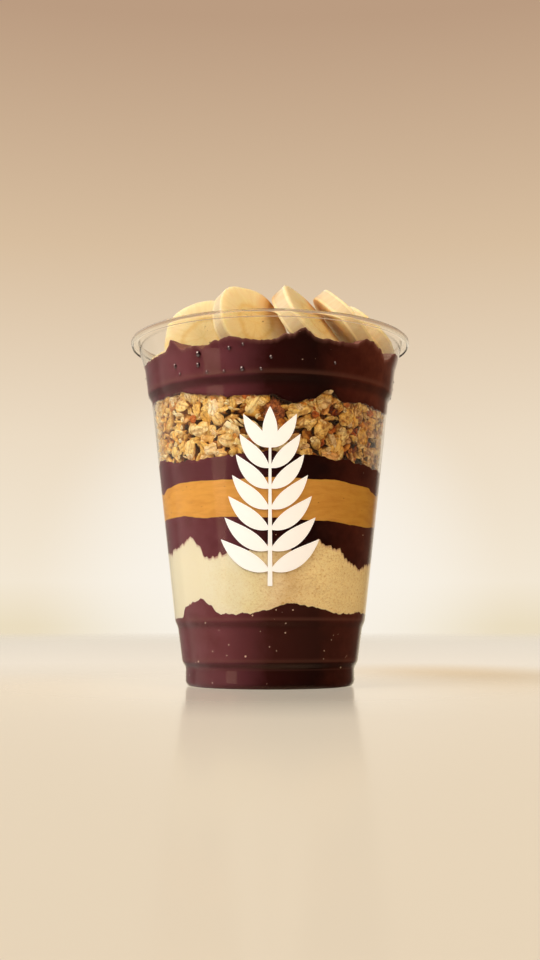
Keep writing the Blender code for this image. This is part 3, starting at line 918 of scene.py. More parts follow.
shader = add(
    "BsdfPrincipled", IOR=1.45, Roughness=0.85, Subsurface_Weight=0.1,
    Subsurface_Radius=(1.0, 0.85, 0.6), Subsurface_Scale=0.8 * MM, Base_Color=stained, Normal=bumps,
)
add("OutputMaterial", shader)
finish_piece(milk, milk_powder, "powdered_milk", "powdered_milk")

# %% [markdown]
# ## Peanut butter
# Ground roasted peanuts in their own oil: a smooth, dense, oily paste. Pressed on plastic it
# shows an amber brown with faint streaks where the spoon drew it along, a few fine bits, and a
# soft sheen from the oil. The brown is painted darker towards the right, a painted shade away
# from the light. The light reddens as it goes in, so some subsurface is used.

# %% Make the peanut butter
SPOON_STREAK = 7.0

nut_paste, add, place = new_material("peanut_butter")
sideways = add("SeparateXYZ", place).outputs["X"]
body = add("MapRange", sideways, -0.036, 0.036)
# Painted shade: the paste's brown is darker towards the right, away from the light.
base_tone = add("ValToRGB", body, stops=[(0.0, "ECB147"), (0.45, "E1AC5B"), (1.0, "C69632")])
drawn = add("Mapping", place, Scale=(1.0, 1.0, 4.0))
streaks = add("TexNoise", drawn, Scale=per_mm(SPOON_STREAK), Detail=5.0, Roughness=0.6, Distortion=0.4)
paste = marked(base_tone, 0.8, streaks, [(0.3, "EBDCC6"), (0.6, "FFFFFF")])
bits = add("TexVoronoi", place, Scale=per_mm(2.6))
bit = add("Math.LESS_THAN", bits, 0.07)
speckled = add("Mix", bit, paste, "8E5A25")
bumps = add("Bump", Strength=0.25, Distance=0.2 * MM, Height=streaks)
shader = add(
    "BsdfPrincipled", IOR=1.46, Roughness=0.42, Subsurface_Weight=0.12,
    Subsurface_Radius=(1.0, 0.55, 0.2), Subsurface_Scale=1.2 * MM, Base_Color=speckled, Normal=bumps,
)
add("OutputMaterial", shader)
finish_piece(peanut, nut_paste, "peanut_butter", "peanut_butter")

# %% [markdown]
# ## Rolled oats
# Granola is mostly rolled oats: grains steamed and flattened to flakes a millimetre thick, with
# the grain's crease still along the middle, curled edges, and a toasted skin. A few flakes are
# modelled, each from a ball with few faces, because hundreds of copies follow: the ball is
# flattened, its outline made uneven, its middle creased, and the whole flake crumpled and curled.
# The flake's own lengthwise and sideways place is kept on its points, so that the crease and
# the fibres in the material follow each copy however it lies.

# %% Model a handful of flakes
FLAKE_SEED = 11
FLAKE_KINDS = 12
FLAKE_SIDES = 10
FLAKE_ROWS = 6
FLAKE_LENGTH = (5.6, 8.2)
FLAKE_WIDTH = (4.0, 5.8)
FLAKE_THICKNESS = (1.3, 2.3)
FLAKE_CURL = (-0.5, 0.9)
RAGGED = 0.36
CREASE_DEPTH = 0.25
CREASE_WIDTH = 0.7
CRUMPLE = 0.8
CRUMPLE_SIZE = 2.6
flake_draw = random.Random(FLAKE_SEED)


def noise_at(spots, seed):
    """Smooth random numbers, from about -1 to 1, one for each spot."""
    return np.array([noise.noise(Vector(spot) + Vector((0.0, 0.0, seed))) for spot in spots])


def flake_model(index, length, width, thick, curl):
    """One rolled oat, lying flat, about its own middle."""
    bpy.ops.mesh.primitive_uv_sphere_add(segments=FLAKE_SIDES, ring_count=FLAKE_ROWS, radius=1.0)
    flake = bpy.context.object
    flake.name = f"flake_{index}"
    ball = read_points(flake) * MM
    turn = np.arctan2(ball[:, 1], ball[:, 0])
    outline_spots = np.stack([np.cos(turn), np.sin(turn), np.zeros(len(turn))], axis=1)
    wander = noise_at(outline_spots * 1.1, index * 2.3)
    wander = wander + 0.6 * noise_at(outline_spots * 2.4, index * 5.1)
    x = ball[:, 0] * (1.0 + RAGGED * wander) * length / 2
    y = ball[:, 1] * (1.0 + RAGGED * wander) * width / 2
    flat = np.sign(ball[:, 2]) * np.abs(ball[:, 2]) ** 0.6
    out = np.clip(np.hypot(ball[:, 0], ball[:, 1]), 0.0, 1.0)
    crease = CREASE_DEPTH * np.exp(-((y / CREASE_WIDTH) ** 2)) * (1.0 - out**2)
    z = flat * (thick / 2 * (1.0 - 0.35 * out**2) - crease)
    z = z + curl * (x / length) ** 2 * 4.0 + 0.5 * curl * (y / width) ** 2 * 4.0
    z = z + CRUMPLE * noise_at(np.stack([x, y, 0.0 * x], axis=1) / CRUMPLE_SIZE, index * 3.1)
    note_on_points(flake, "flake", np.stack([x, y, z], axis=1), "FLOAT_VECTOR")
    move_points(flake, np.stack([x, y, z], axis=1))
    return flake


FLAKE_LIMITS = (FLAKE_LENGTH, FLAKE_WIDTH, FLAKE_THICKNESS, FLAKE_CURL)
flakes = [
    flake_model(index, *[flake_draw.uniform(*limits) for limits in FLAKE_LIMITS])
    for index in range(FLAKE_KINDS)
]
print(FLAKE_KINDS, "flakes of", len(flakes[0].data.polygons), "faces")

# %% [markdown]
# ## Filling the granola layer
# The flakes lie in shells, from the wall inwards, over a dark core. In the outer shell most lie
# against the plastic, as flakes do when they are poured, and some stand on edge. Crumbs fill
# the gaps between them. Each copy is pushed inwards until its outermost point only just enters
# the wall. A number drawn for each copy says how toasted it is, and towards the right that
# number is shifted to the darker tones, a painted shade away from the light; another number says
# how deep each point lies behind the wall, in mm.
# All copies are joined into one piece at the end.

# %% Place one copy of a model against the wall
GRANOLA_SEED = 29
INSIDE_SKIN = 0.45
granola_draw = random.Random(GRANOLA_SEED)
UP = Vector((0.0, 0.0, 1.0))


def line_at(line, angle):
    """Height of a line round the cup at one angle."""
    around = np.arange(AROUND + 1) * 360.0 / AROUND
    return float(np.interp(angle % 360.0, around, np.append(line, line[0])))


def new_copy(model, name):
    """A copy of a model with its own mesh."""
    copy = bpy.data.objects.new(name, model.data.copy())
    bpy.context.scene.collection.objects.link(copy)
    return copy


def wall_frame(angle):
    """The way out of the cup at an angle, and a turn that stands a lying thing on the wall."""
    spot = math.radians(angle)
    outwards = Vector((math.sin(spot), -math.cos(spot), 0.0))
    return outwards, Matrix((UP.cross(outwards), UP, outwards)).transposed()


def placed_copy(model, name, angle, height, depth, turn, tone, size=1.0):
    """A copy of a model, turned, set at an angle and height, its outermost point at a depth."""
    copy = new_copy(model, name)
    outwards, on_wall = wall_frame(angle)
    points = read_points(copy) * size @ np.array(on_wall @ turn).T
    reach = float(wall_radius(height))
    points = points + np.array(outwards * reach + UP * height)
    excess = float((np.hypot(points[:, 0], points[:, 1]) - wall_radius(points[:, 2])).max())
    points = points - np.array(outwards) * (excess + INSIDE_SKIN + depth)
    move_points(copy, points)
    note_on_points(copy, "tone", np.full(len(points), tone))
    deep = wall_radius(points[:, 2]) - np.hypot(points[:, 0], points[:, 1]) - INSIDE_SKIN
    note_on_points(copy, "deep", deep)
    return copy


def joined(copies, name):
    """Joins the copies into one piece."""
    bpy.ops.object.select_all(action="DESELECT")
    for copy in copies:
        copy.select_set(True)
    bpy.context.view_layer.objects.active = copies[0]
    bpy.ops.object.join()
    bpy.context.object.name = name
    bpy.context.object.data.name = name
    return bpy.context.object


def lying(tilt, way, spin):
    """A turn for a flake: spun in its plane, then tilted out of it, in degrees."""
    across = Vector((math.cos(math.radians(way)), math.sin(math.radians(way)), 0.0))
    return Matrix.Rotation(math.radians(tilt), 3, across) @ Matrix.Rotation(math.radians(spin), 3, "Z")


print("a flake's highest place in front:", round(line_at(GRANOLA_LINE, -46.0), 1), "mm")

# %% Scatter the flakes in shells, and the crumbs
GRANOLA_FROM, GRANOLA_TO = 72.6, 98.0
SHELLS = (
    # nearest, deepest, spacing along a row, gap between rows, smallest, largest, share on edge
    (0.0, 0.6, 4.8, 2.9, 0.60, 0.98, 0.34),
    (0.9, 1.7, 5.2, 3.1, 0.70, 1.05, 0.40),
    (2.4, 3.4, 6.4, 4.0, 0.90, 1.15, 0.10),
    (0.0, 0.9, 3.8, 2.6, 0.22, 0.42, 0.30),
)
PAST_THE_LINE = 1.2
PAINTED_SHADE_TO_RIGHT = 0.10
CORE_BACK = 4.2
NUTS = ((1.4, 88.8, 8), (112.0, 83.0, 60), (205.0, 88.0, -30), (262.0, 80.5, 40))
KEPT_CLEAR = [(angle, level, 3.6, 4.4) for angle, level, _ in NUTS] + [(-13.0, 85.2, 5.2, 2.6)]
TILT_SPREAD, SLOPE_SPREAD = 24, 40
ON_EDGE_TILT = (58, 88)
TOP_SPOTS = 150
TOP_DROP = (0.4, 2.4)
TOP_SIZE = (0.42, 0.72)
TOP_DEPTH = (0.1, 1.0)
TOP_ON_EDGE = 0.3


def kept_clear(angle, level):
    """Whether a place on the wall is kept for the pecans and the sheaf, which are added later."""
    for place_angle, place_level, half_width, half_height in KEPT_CLEAR:
        beside = math.radians((angle - place_angle + 180.0) % 360.0 - 180.0) * MIDDLE_RADIUS
        if math.hypot(beside / half_width, (level - place_level) / half_height) < 1.0:
            return True
    return False


def leaning(on_edge):
    """How one flake lies: on edge along a random slope, or nearly flat on the wall."""
    if on_edge:
        slope = granola_draw.gauss(0, SLOPE_SPREAD)
        return lying(granola_draw.uniform(*ON_EDGE_TILT), slope, slope)
    tilt = abs(granola_draw.gauss(0, TILT_SPREAD))
    return lying(tilt, granola_draw.uniform(0, 360), granola_draw.uniform(0, 360))


def scattered(near, far, spacing, row_gap, smallest, largest, edge_share):
    """One shell of flakes in rough rows, kept between the two acai lines."""
    placed = []
    count = round(2 * math.pi * MIDDLE_RADIUS / spacing)
    rows = math.ceil((GRANOLA_TO - GRANOLA_FROM) / row_gap)
    for row in range(rows):
        for spot in range(count):
            angle = 360.0 * (spot + 0.5 * (row % 2) + granola_draw.uniform(-0.35, 0.35)) / count
            level = GRANOLA_FROM + row_gap * (row + granola_draw.uniform(-0.4, 0.4))
            size = granola_draw.uniform(smallest, largest)
            turn = leaning(granola_draw.random() < edge_share)
            # Painted shade: flakes towards the right take darker tones, away from the light.
            painted_shade_shift = PAINTED_SHADE_TO_RIGHT * math.sin(math.radians(angle))
            tone = min(max(granola_draw.random() + painted_shade_shift, 0.0), 1.0)
            kind = granola_draw.choice(flakes)
            depth = granola_draw.uniform(near, far)
            lowest = line_at(THIRD_LINE, angle) - PAST_THE_LINE
            fits = lowest < level < line_at(GRANOLA_LINE, angle) + PAST_THE_LINE
            if fits and (near > 1.0 or not kept_clear(angle, level)):
                placed.append(placed_copy(kind, "oat", angle, level, depth, turn, tone, size))
    return placed


def along_the_top():
    """Small flakes close under the crown, so that its edge never lies over a bare gap."""
    placed = []
    for spot in range(TOP_SPOTS):
        angle = 360.0 * (spot + granola_draw.uniform(-0.4, 0.4)) / TOP_SPOTS
        level = line_at(GRANOLA_LINE, angle) - granola_draw.uniform(*TOP_DROP)
        size = granola_draw.uniform(*TOP_SIZE)
        depth = granola_draw.uniform(*TOP_DEPTH)
        turn = leaning(granola_draw.random() < TOP_ON_EDGE)
        kind = granola_draw.choice(flakes)
        if not kept_clear(angle, level):
            tone = granola_draw.random()
            placed.append(placed_copy(kind, "oat", angle, level, depth, turn, tone, size))
    return placed


oats = along_the_top()
for shell in SHELLS:
    oats += scattered(*shell)
print(len(oats), "flakes and crumbs placed")

# %% Add a sheaf of flakes on edge and a few large flat ones
SHEAF = (
    (-18.4, 85.6, -34), (-16.0, 85.3, -36), (-13.6, 85.6, -34), (-11.2, 84.9, -38),
    (-8.8, 85.2, -36), (-6.4, 84.4, -38), (-20.4, 91.4, -4), (-18.2, 89.9, -10),
)
LARGE_FLAT = (
    (-28.1, 90.2, 80, 0.74), (-37.4, 83.7, 8, 0.95), (-21.6, 79.9, -12, 0.95), (-9.0, 89.8, 70, 0.74),
    (-43.4, 78.8, 75, 0.80), (-46.5, 92.6, -20, 0.85), (-52.0, 85.0, 60, 0.85), (13.7, 89.8, 5, 1.0),
    (26.0, 83.5, 40, 0.85), (40.0, 88.0, 35, 0.90), (34.0, 79.0, 75, 0.90), (52.0, 83.0, -60, 0.90),
)
ORANGE_BITS = (
    (-9.4, 78.9, 0, 0.52), (-3.7, 80.4, 20, 0.60), (-40.0, 87.6, 50, 0.55), (22.0, 88.0, 0, 0.5),
)
for angle, level, slope in SHEAF:
    oats.append(placed_copy(flakes[1], "oat", angle, level, 0.0, lying(84, slope, slope), 0.05, 0.72))
for index, (angle, level, slope, size) in enumerate(LARGE_FLAT):
    kind = flakes[(index * 5) % FLAKE_KINDS]
    turn = lying(8, 30 * index, slope)
    oats.append(placed_copy(kind, "oat", angle, level, 0.0, turn, 0.05 * index, size))
for angle, level, slope, size in ORANGE_BITS:
    oats.append(placed_copy(flakes[3], "oat", angle, level, 0.0, lying(10, 0, slope), 1.0, size))
print(len(oats), "with the sheaf, the large ones and the toasted bits")

# %% Join the flakes and make the dark core behind them
granola = joined(oats, "granola_oats")
for model in flakes:
    bpy.data.objects.remove(model, do_unlink=True)
core_side = [
    (radius - CORE_BACK, level)
    for radius, level in side_rings(THIRD_LINE - CAP_DROP, GRANOLA_LINE + CAP_DROP)
]
core = pressed(
    "granola_core",
    cap(*core_side[0])[::-1] + core_side + cap(*core_side[-1]),
    float(GRANOLA_LINE.mean()) + CAP_DROP,
    float(THIRD_LINE.mean()) - CAP_DROP,
)
print("granola:", len(granola.data.polygons), "faces")

# %% [markdown]
# ## Toasted oat skin
# A toasted oat is straw coloured, darker and redder where the oven caught it, with a dark line
# along its crease, and fine bran fibres along its length. Honey baked on it leaves some shine.
# Little light reaches the flakes that lie deeper, and what does is red-brown from the flakes in
# front, so the colour is multiplied by a painted shade that follows the depth behind the wall,
# and the same shade dims their shine. Towards the right, away from the light, patches of them
# are painted darker still. Light also comes through the thin flakes on the bright side, which a
# faint painted glow stands for.

# %% Make the oats' material
SHADE_DEPTH = 4.5

oat_skin, add, place = new_material("toasted_rolled_oats")
flake = add("Attribute", attribute_name="flake").outputs["Vector"]
tone = add("Attribute", attribute_name="tone").outputs["Fac"]
parts = add("SeparateXYZ", flake)
own = add("Math.MULTIPLY", tone, 40.0)
base_tone = add("ValToRGB", tone, stops=[
    (0.0, "FFF8DA"), (0.30, "FFE9A4"), (0.58, "F8D27C"), (0.76, "FFF6DC"), (0.90, "E6A84A"),
    (1.0, "CC742A"),
])
patches = add("TexNoise", flake, own, noise_dimensions="4D", Scale=0.42, Detail=3.0, Roughness=0.6)
mottled = marked(base_tone, 0.5, patches, [(0.30, "D3A04E"), (0.44, "FBEBC2"), (0.58, "FFFFFF")])
wobble = add("TexNoise", flake, own, noise_dimensions="4D", Scale=0.5, Detail=2.0)
bent = add("Math.MULTIPLY_ADD", wobble, 1.6, -0.8)
off_crease = add("Math.ADD", parts.outputs["Y"], bent)
from_crease = add("Math.ABSOLUTE", off_crease)
crease = add("MapRange.SMOOTHSTEP", from_crease, 0.0, 0.55, 0.42, 0.0)
creased = add("Mix", crease, mottled, "8A5420")
along = add("Mapping", flake, Scale=(0.35, 2.4, 1.0))
fibres = add("TexNoise", along, own, noise_dimensions="4D", Scale=1.2, Detail=3.0, Roughness=0.6)
fibrous = marked(creased, 0.3, fibres, [(0.34, "B58346"), (0.48, "F6E8CC"), (0.66, "FFFFFF")])
wrinkles = add(
    "TexNoise", flake, own, noise_dimensions="4D", Scale=0.6, Detail=2.0, Roughness=0.5, Distortion=0.5,
)
wrinkled = marked(fibrous, 0.6, wrinkles, [(0.32, "B07C38"), (0.48, "FFF2D4"), (0.60, "FFFFFF")])
height = add("SeparateXYZ", place).outputs["Z"]
near_top = add("MapRange", height, 0.0915, 0.096, 0.0, 0.5)
smear = add("TexNoise", place, Scale=per_mm(3.0), Detail=3.0)
smear_share = add("Math.MULTIPLY", near_top, smear)
stained = add("Mix", smear_share, wrinkled, "8A4650")
deep = add("Attribute", attribute_name="deep").outputs["Fac"]
# Painted shade that deepens with the depth behind the wall; below, it also dims the shine.
shade = add("ValToRGB", add("Math.DIVIDE", deep, SHADE_DEPTH), stops=[
    (0.12, "FFFFFF"), (0.26, "F3E0B4"), (0.42, "A8763A"), (0.58, "4C260A"), (1.0, "260E03"),
])
with_painted_shade = add("Mix.MULTIPLY", 1.0, stained, shade)
sideways = add("SeparateXYZ", place).outputs["X"]
away_from_light = add("MapRange", sideways, -0.030, 0.030)
# Painted shade in patches towards the right, away from the light.
side_shade_patch = add("MapRange", patches, 0.56, 0.38)
painted_side_shade_share = add("Math.MULTIPLY", away_from_light, side_shade_patch)
with_painted_side_shade = add("Mix.MULTIPLY", painted_side_shade_share, with_painted_shade, "A88C78")
# Painted light: a faint glow on the bright side, for light through the thin flakes.
glow = add("MapRange", away_from_light, To_Min=0.17, To_Max=0.0)
gloss = add("Math.MULTIPLY", shade, 0.5)
folded = add("Math.MULTIPLY_ADD", fibres, 0.25, wrinkles)
relief = add("Math.MULTIPLY_ADD", crease, -0.5, folded)
bumps = add("Bump", Strength=0.8, Distance=0.8 * MM, Height=relief)
shader = add(
    "BsdfPrincipled", IOR=1.45, Roughness=0.45, Subsurface_Weight=0.12,
    Subsurface_Radius=(1.0, 0.6, 0.25), Subsurface_Scale=0.8 * MM, Base_Color=with_painted_side_shade, Normal=bumps,
    Specular_IOR_Level=gloss, Emission_Color=with_painted_side_shade, Emission_Strength=glow,
)
add("OutputMaterial", shader)
finish_piece(granola, oat_skin, "granola", "granola", angle=45.0)

# %% [markdown]
# ## Broken pecans
# Between the oats sit a few broken nuts: lumps the size of a flake or a little larger, folded
# like the nut's lobes, with a dark red-brown skin and paler ridges. A ball of small triangles is
# pushed about by noise for the lump and by a wave for the folds, and copied four times.

# %% Model one broken pecan and place its copies
PECAN_HALVES = (3.1, 4.1, 2.0)
PECAN_FOLD = 0.09

bpy.ops.mesh.primitive_ico_sphere_add(subdivisions=5, radius=1.0)
pecan = bpy.context.object
ball = read_points(pecan) * MM
lump = 1.0 + 0.30 * noise_at(ball * 1.3, 4.0) + 0.18 * noise_at(ball * 3.4, 9.0)
folds = PECAN_FOLD * np.sin(ball[:, 0] * 9.0 + 2.5 * noise_at(ball * 2.0, 1.0))
move_points(pecan, ball * (lump + folds)[:, None] * np.array(PECAN_HALVES))
nuts = [placed_copy(pecan, "nut", *place, 0.0, lying(0, 0, spin), 0.5) for *place, spin in NUTS]
pecans = joined(nuts, "broken_pecans")
bpy.data.objects.remove(pecan, do_unlink=True)

pecan_skin, add, place = new_material("toasted_pecan_skin")
wrinkles = add("TexNoise", place, Scale=per_mm(1.5), Detail=4.0, Roughness=0.65, Distortion=0.8)
skin_tone = add("ValToRGB", wrinkles, stops=[(0.36, "3A1508"), (0.50, "8E4822"), (0.64, "CC8750")])
wrinkle_bumps = add("Bump", Strength=0.9, Distance=0.5 * MM, Height=wrinkles)
skin = add("BsdfPrincipled", Roughness=0.45, Base_Color=skin_tone, Normal=wrinkle_bumps)
add("OutputMaterial", skin)
finish_piece(pecans, pecan_skin, "granola", angle=60.0)

# %% [markdown]
# ## The shade between the flakes
# Behind the flakes lies more granola, too deep for light to reach. The core stands for it: a
# brown so dark that it reads as the gaps in the picture do.

# %% Make the core's material
shaded_granola, add, place = new_material("granola_in_shade")
mottle = add("TexNoise", place, Scale=per_mm(4.0), Detail=3.0)
shade = add("ValToRGB", mottle, stops=[(0.42, "2A1306"), (0.70, "6B4320")])
bumps = add("Bump", Strength=0.8, Distance=1.0 * MM, Height=mottle)
shader = add("BsdfPrincipled", Roughness=0.9, Specular_IOR_Level=0.0, Base_Color=shade, Normal=bumps)
add("OutputMaterial", shader)
finish_piece(core, shaded_granola, "granola")

# %% [markdown]
# ## Slices of banana
# A cut banana is a short, faintly five-sided cylinder. The knife leaves the face nearly flat
# with a soft rim, and the peeled side a little uneven. One slice is modelled as by hand, from a
# cylinder whose rims are bevelled and whose faces are inset into rings, and each of the nine is
# a copy with its own outline, tilt and place. The slice's own coordinates are kept on the points
# so that the three-part heart of the fruit lies in the middle of every face.

# %% Model one slice from a cylinder
SLICE_SIDES = 80
SLICE_BEVEL = 0.16
SLICE_INSETS = (0.06, 0.12, 0.16, 0.18, 0.18, 0.14)
PENTAGON = 0.028
SIDE_WAVE = 0.35
FACE_WAVE = 0.16
FACE_SWELL = 0.22
RIM_DROP = 0.2

bpy.ops.mesh.primitive_cylinder_add(vertices=SLICE_SIDES, radius=1.0, depth=2.0)
model_slice = bpy.context.object
model_slice.name = "model_slice"


def select_parts(kind, wanted):
    """Selects the edges or faces of the model slice that pass the test, in edit mode."""
    bpy.ops.object.mode_set(mode="EDIT")
    bpy.ops.mesh.select_mode(type=kind)
    bpy.ops.mesh.select_all(action="DESELECT")
    bpy.ops.object.mode_set(mode="OBJECT")
    mesh = model_slice.data
    for part in mesh.edges if kind == "EDGE" else mesh.polygons:
        part.select = wanted(part)
    bpy.ops.object.mode_set(mode="EDIT")


def rise(edge):
    """How much higher one end of an edge is than the other."""
    first, last = [model_slice.data.vertices[i].co.z for i in edge.vertices]
    return abs(first - last)


def on_rim(edge):
    """Whether an edge starts as high or as low as a cut face lies."""
    return abs(model_slice.data.vertices[edge.vertices[0]].co.z) > 0.999


select_parts("EDGE", lambda edge: rise(edge) > 1.0)
bpy.ops.mesh.subdivide(number_cuts=9)
select_parts("EDGE", lambda edge: rise(edge) < 0.001 and on_rim(edge))
bpy.ops.mesh.bevel(offset=SLICE_BEVEL, segments=4, profile=0.5)
select_parts("FACE", lambda face: abs(face.normal.z) > 0.999 and face.area > 1.0)
for width in SLICE_INSETS:
    bpy.ops.mesh.inset(thickness=width, use_even_offset=False)
bpy.ops.mesh.poke()
bpy.ops.object.mode_set(mode="OBJECT")
print("model slice:", len(model_slice.data.polygons), "faces")

# %% Copy it nine times, each with its own shape and place
SLICES = (
    ((-21.8, -22.0, 115.2), (-0.12, -0.97, 0.20), 71, 13.6, 1.02, 7.4),
    ((-6.4, -33.4, 117.4), (0.52, -0.82, 0.24), 129, 12.6, 1.13, 6.6),
    ((12.5, -28.6, 118.8), (0.74, -0.38, 0.56), 113, 14.0, 1.06, 7.0),
    ((25.4, -16.6, 121.8), (0.76, 0.02, 0.65), 106, 13.2, 1.03, 6.2),
    ((33.9, 4.5, 123.3), (0.70, 0.08, 0.71), 59, 12.2, 1.03, 6.2),
    ((14.0, 22.5, 115.6), (0.22, 0.30, 0.93), 20, 13.2, 1.04, 8.2),
    ((-15.5, 24.0, 115.4), (-0.28, 0.36, 0.89), 50, 13.0, 1.05, 8.0),
    ((-31.0, 2.5, 115.0), (-0.42, -0.06, 0.90), 10, 12.2, 1.04, 7.6),
    ((-2.0, -3.0, 117.4), (0.12, -0.16, 0.98), 80, 13.4, 1.04, 8.0),
)
GAP_REACH = 8.0


def closeness(points, number):
    """How close each point lies to another slice: 1 where they touch, 0 from the reach on."""
    nearest = np.zeros(len(points))
    for other, (centre, facing, _, radius, _, thickness) in enumerate(SLICES, start=1):
        if other == number:
            continue
        offset = points - np.array(centre)
        lift = offset @ np.array(Vector(facing).normalized())
        beside = np.sqrt(np.maximum((offset**2).sum(axis=1) - lift**2, 0.0))
        gap = np.hypot(np.maximum(np.abs(lift) - thickness / 2, 0.0), np.maximum(beside - radius, 0.0))
        nearest = np.maximum(nearest, 1.0 - gap / GAP_REACH)
    return nearest


def banana_slice(number, centre, facing, spin, radius, oval, thickness):
    """One slice: the model stretched to size, made uneven, turned and put in its place."""
    piece = new_copy(model_slice, f"banana_{number}")
    unit = read_points(piece) * MM
    turn = np.arctan2(unit[:, 1], unit[:, 0])
    side_wave = np.array(
        [noise.noise(Vector((math.cos(t) * 1.6, math.sin(t) * 1.6, z * 0.5 + 7.0 * number)))
         for t, z in zip(turn, unit[:, 2])]
    )
    grow = radius * (1.0 + PENTAGON * np.cos(5 * turn)) + SIDE_WAVE * side_wave
    x = unit[:, 0] * grow * oval
    y = unit[:, 1] * grow / oval
    share = np.hypot(unit[:, 0], unit[:, 1])
    face_wave = np.array(
        [noise.noise(Vector((a / 5.0, b / 5.0, 3.0 * number + c))) for a, b, c in zip(x, y, unit[:, 2])]
    )
    half = thickness / 2 - RIM_DROP + FACE_SWELL * (1.0 - share**2)
    z = unit[:, 2] * half + FACE_WAVE * face_wave * (share < 0.97)
    own = np.stack([x, y, z], axis=1)
    note_on_points(piece, "slice", own, "FLOAT_VECTOR")
    note_on_points(piece, "share", share * np.sign(unit[:, 2]) * (np.abs(unit[:, 2]) > 0.8))
    out = Vector(facing).normalized()
    side = UP.cross(out).normalized()
    axes = Matrix((side, out.cross(side), out)).transposed()
    turned = axes @ Matrix.Rotation(math.radians(spin), 3, "Z")
    points = own @ np.array(turned).T + np.array(centre)
    move_points(piece, points)
    note_on_points(piece, "close", closeness(points, number))
    return piece


bananas = [banana_slice(i + 1, *row) for i, row in enumerate(SLICES)]
bpy.data.objects.remove(model_slice, do_unlink=True)
print(len(bananas), "slices")

# %% [markdown]
# ## Banana flesh
# Ripe banana is soft, wet starch: cream coloured and slightly see-through, so light spreads a
# few millimetres in it. The cut face has a ring of paler flesh round a heart in three parts,
# with fine rays and rows of tiny dark seeds. The peeled side is paler, with faint fibres that
# run from face to face. Between two slices little light falls, and what does passes from flesh
# to flesh and turns amber; a painted warm shade stands for it, by a share, kept on the points,
# of how close the next slice lies.

# %% Make the banana's material
banana_flesh, add, place = new_material("banana_flesh")
own = add("Attribute", attribute_name="slice").outputs["Vector"]
parts = add("SeparateXYZ", own)
flat = add("CombineXYZ", parts.outputs["X"], parts.outputs["Y"])
out = add("VectorMath.LENGTH", flat)
turn = add("Math.ARCTAN2", parts.outputs["Y"], parts.outputs["X"])
thrice = add("Math.MULTIPLY", turn, 3.0)
lobes = add("Math.COSINE", thrice)
wander = add("TexNoise", own, Scale=0.35, Detail=2.0)
swell = add("Math.MULTIPLY_ADD", lobes, -0.8, out)
shaped = add("Math.MULTIPLY_ADD", wander, 2.0, swell)
flesh = add("ValToRGB", add("Math.DIVIDE", shaped, 15.0), stops=[
    (0.0, "EACF8D"), (0.12, "EED99E"), (0.38, "EFDCA4"), (0.47, "E8CD8C"), (0.56, "F1E1B0"),
    (1.0, "F6EAC4"),
])
ray_place = add(
    "CombineXYZ", add("Math.MULTIPLY", turn, 9.0), add("Math.MULTIPLY", out, 0.16),
    add("Math.MULTIPLY", parts.outputs["Z"], 0.12),
)
rays = add("TexNoise", ray_place, Scale=1.0, Detail=3.0, Roughness=0.6)
ray_tone = add("ValToRGB", rays, stops=[(0.35, "E8CF9C"), (0.6, "FFFFFF")])
rayed = add("Mix.MULTIPLY", 0.22, flesh, ray_tone)
seed_cells = add("TexVoronoi", flat, Scale=0.85, Randomness=0.9)
is_seed = add("Math.LESS_THAN", seed_cells, 0.24)
in_rows = add("MapRange", lobes, 0.72, 0.88)
from_middle = add("MapRange.SMOOTHSTEP", out, 5.0, 3.6, 0.0, 1.0)
clear_middle = add("Math.GREATER_THAN", out, 1.0)
share = add("Attribute", attribute_name="share").outputs["Fac"]
on_face = add("Math.GREATER_THAN", add("Math.ABSOLUTE", share), 0.001)
seeds = is_seed
for mask in (in_rows, from_middle, clear_middle, on_face):
    seeds = add("Math.MULTIPLY", seeds, mask)
seeded = add("Mix", seeds, rayed, "6B4A2A")
side_flesh = add("Mix.MULTIPLY", 0.3, "E4D6B6", ray_tone)
banana = add("Mix", on_face, side_flesh, seeded)
close = add("Attribute", attribute_name="close").outputs["Fac"]
# Painted warm shade between slices, by how close the next slice lies.
painted_warm_share = add("MapRange.SMOOTHSTEP", close, 0.25, 1.0, 0.0, 0.85)
with_painted_gap_shade = add("Mix.MULTIPLY", painted_warm_share, banana, "DFA548")
wet = add("TexNoise", place, Scale=per_mm(2.2), Detail=3.0)
rough = add("MapRange", wet, To_Min=0.32, To_Max=0.6)
relief = add("Math.ADD", rays, wet)
bumps = add("Bump", Strength=0.35, Distance=0.2 * MM, Height=relief)
shader = add(
    "BsdfPrincipled", IOR=1.38, Subsurface_Weight=0.45, Subsurface_Radius=(1.0, 0.72, 0.35),
    Subsurface_Scale=2.6 * MM, Base_Color=with_painted_gap_shade, Roughness=rough, Normal=bumps,
)
add("OutputMaterial", shader)
for number, piece in enumerate(bananas, start=1):
    finish_piece(piece, banana_flesh, "banana", f"banana_slice_{number}", angle=50.0)

# %% [markdown]
# ## Beads of condensation
# A cold cup draws small beads of water from the air, just below the rim. Each is a flattened
# ball, half of it sunk into the plastic. One bead is modelled and copied to a few chosen places
# in front and, by a seeded rule, round the back. A bead is a tiny lens: it shows the lamp as a
# point on its lit side, gathers light on the other side, and bends the view to the dark at its
# rim. All of it is far too small for the sky to give, so the material paints it by the way the
# bead's skin faces: a painted highlight on the lit side, a faint painted glow on the other, and
# a painted dark rim.

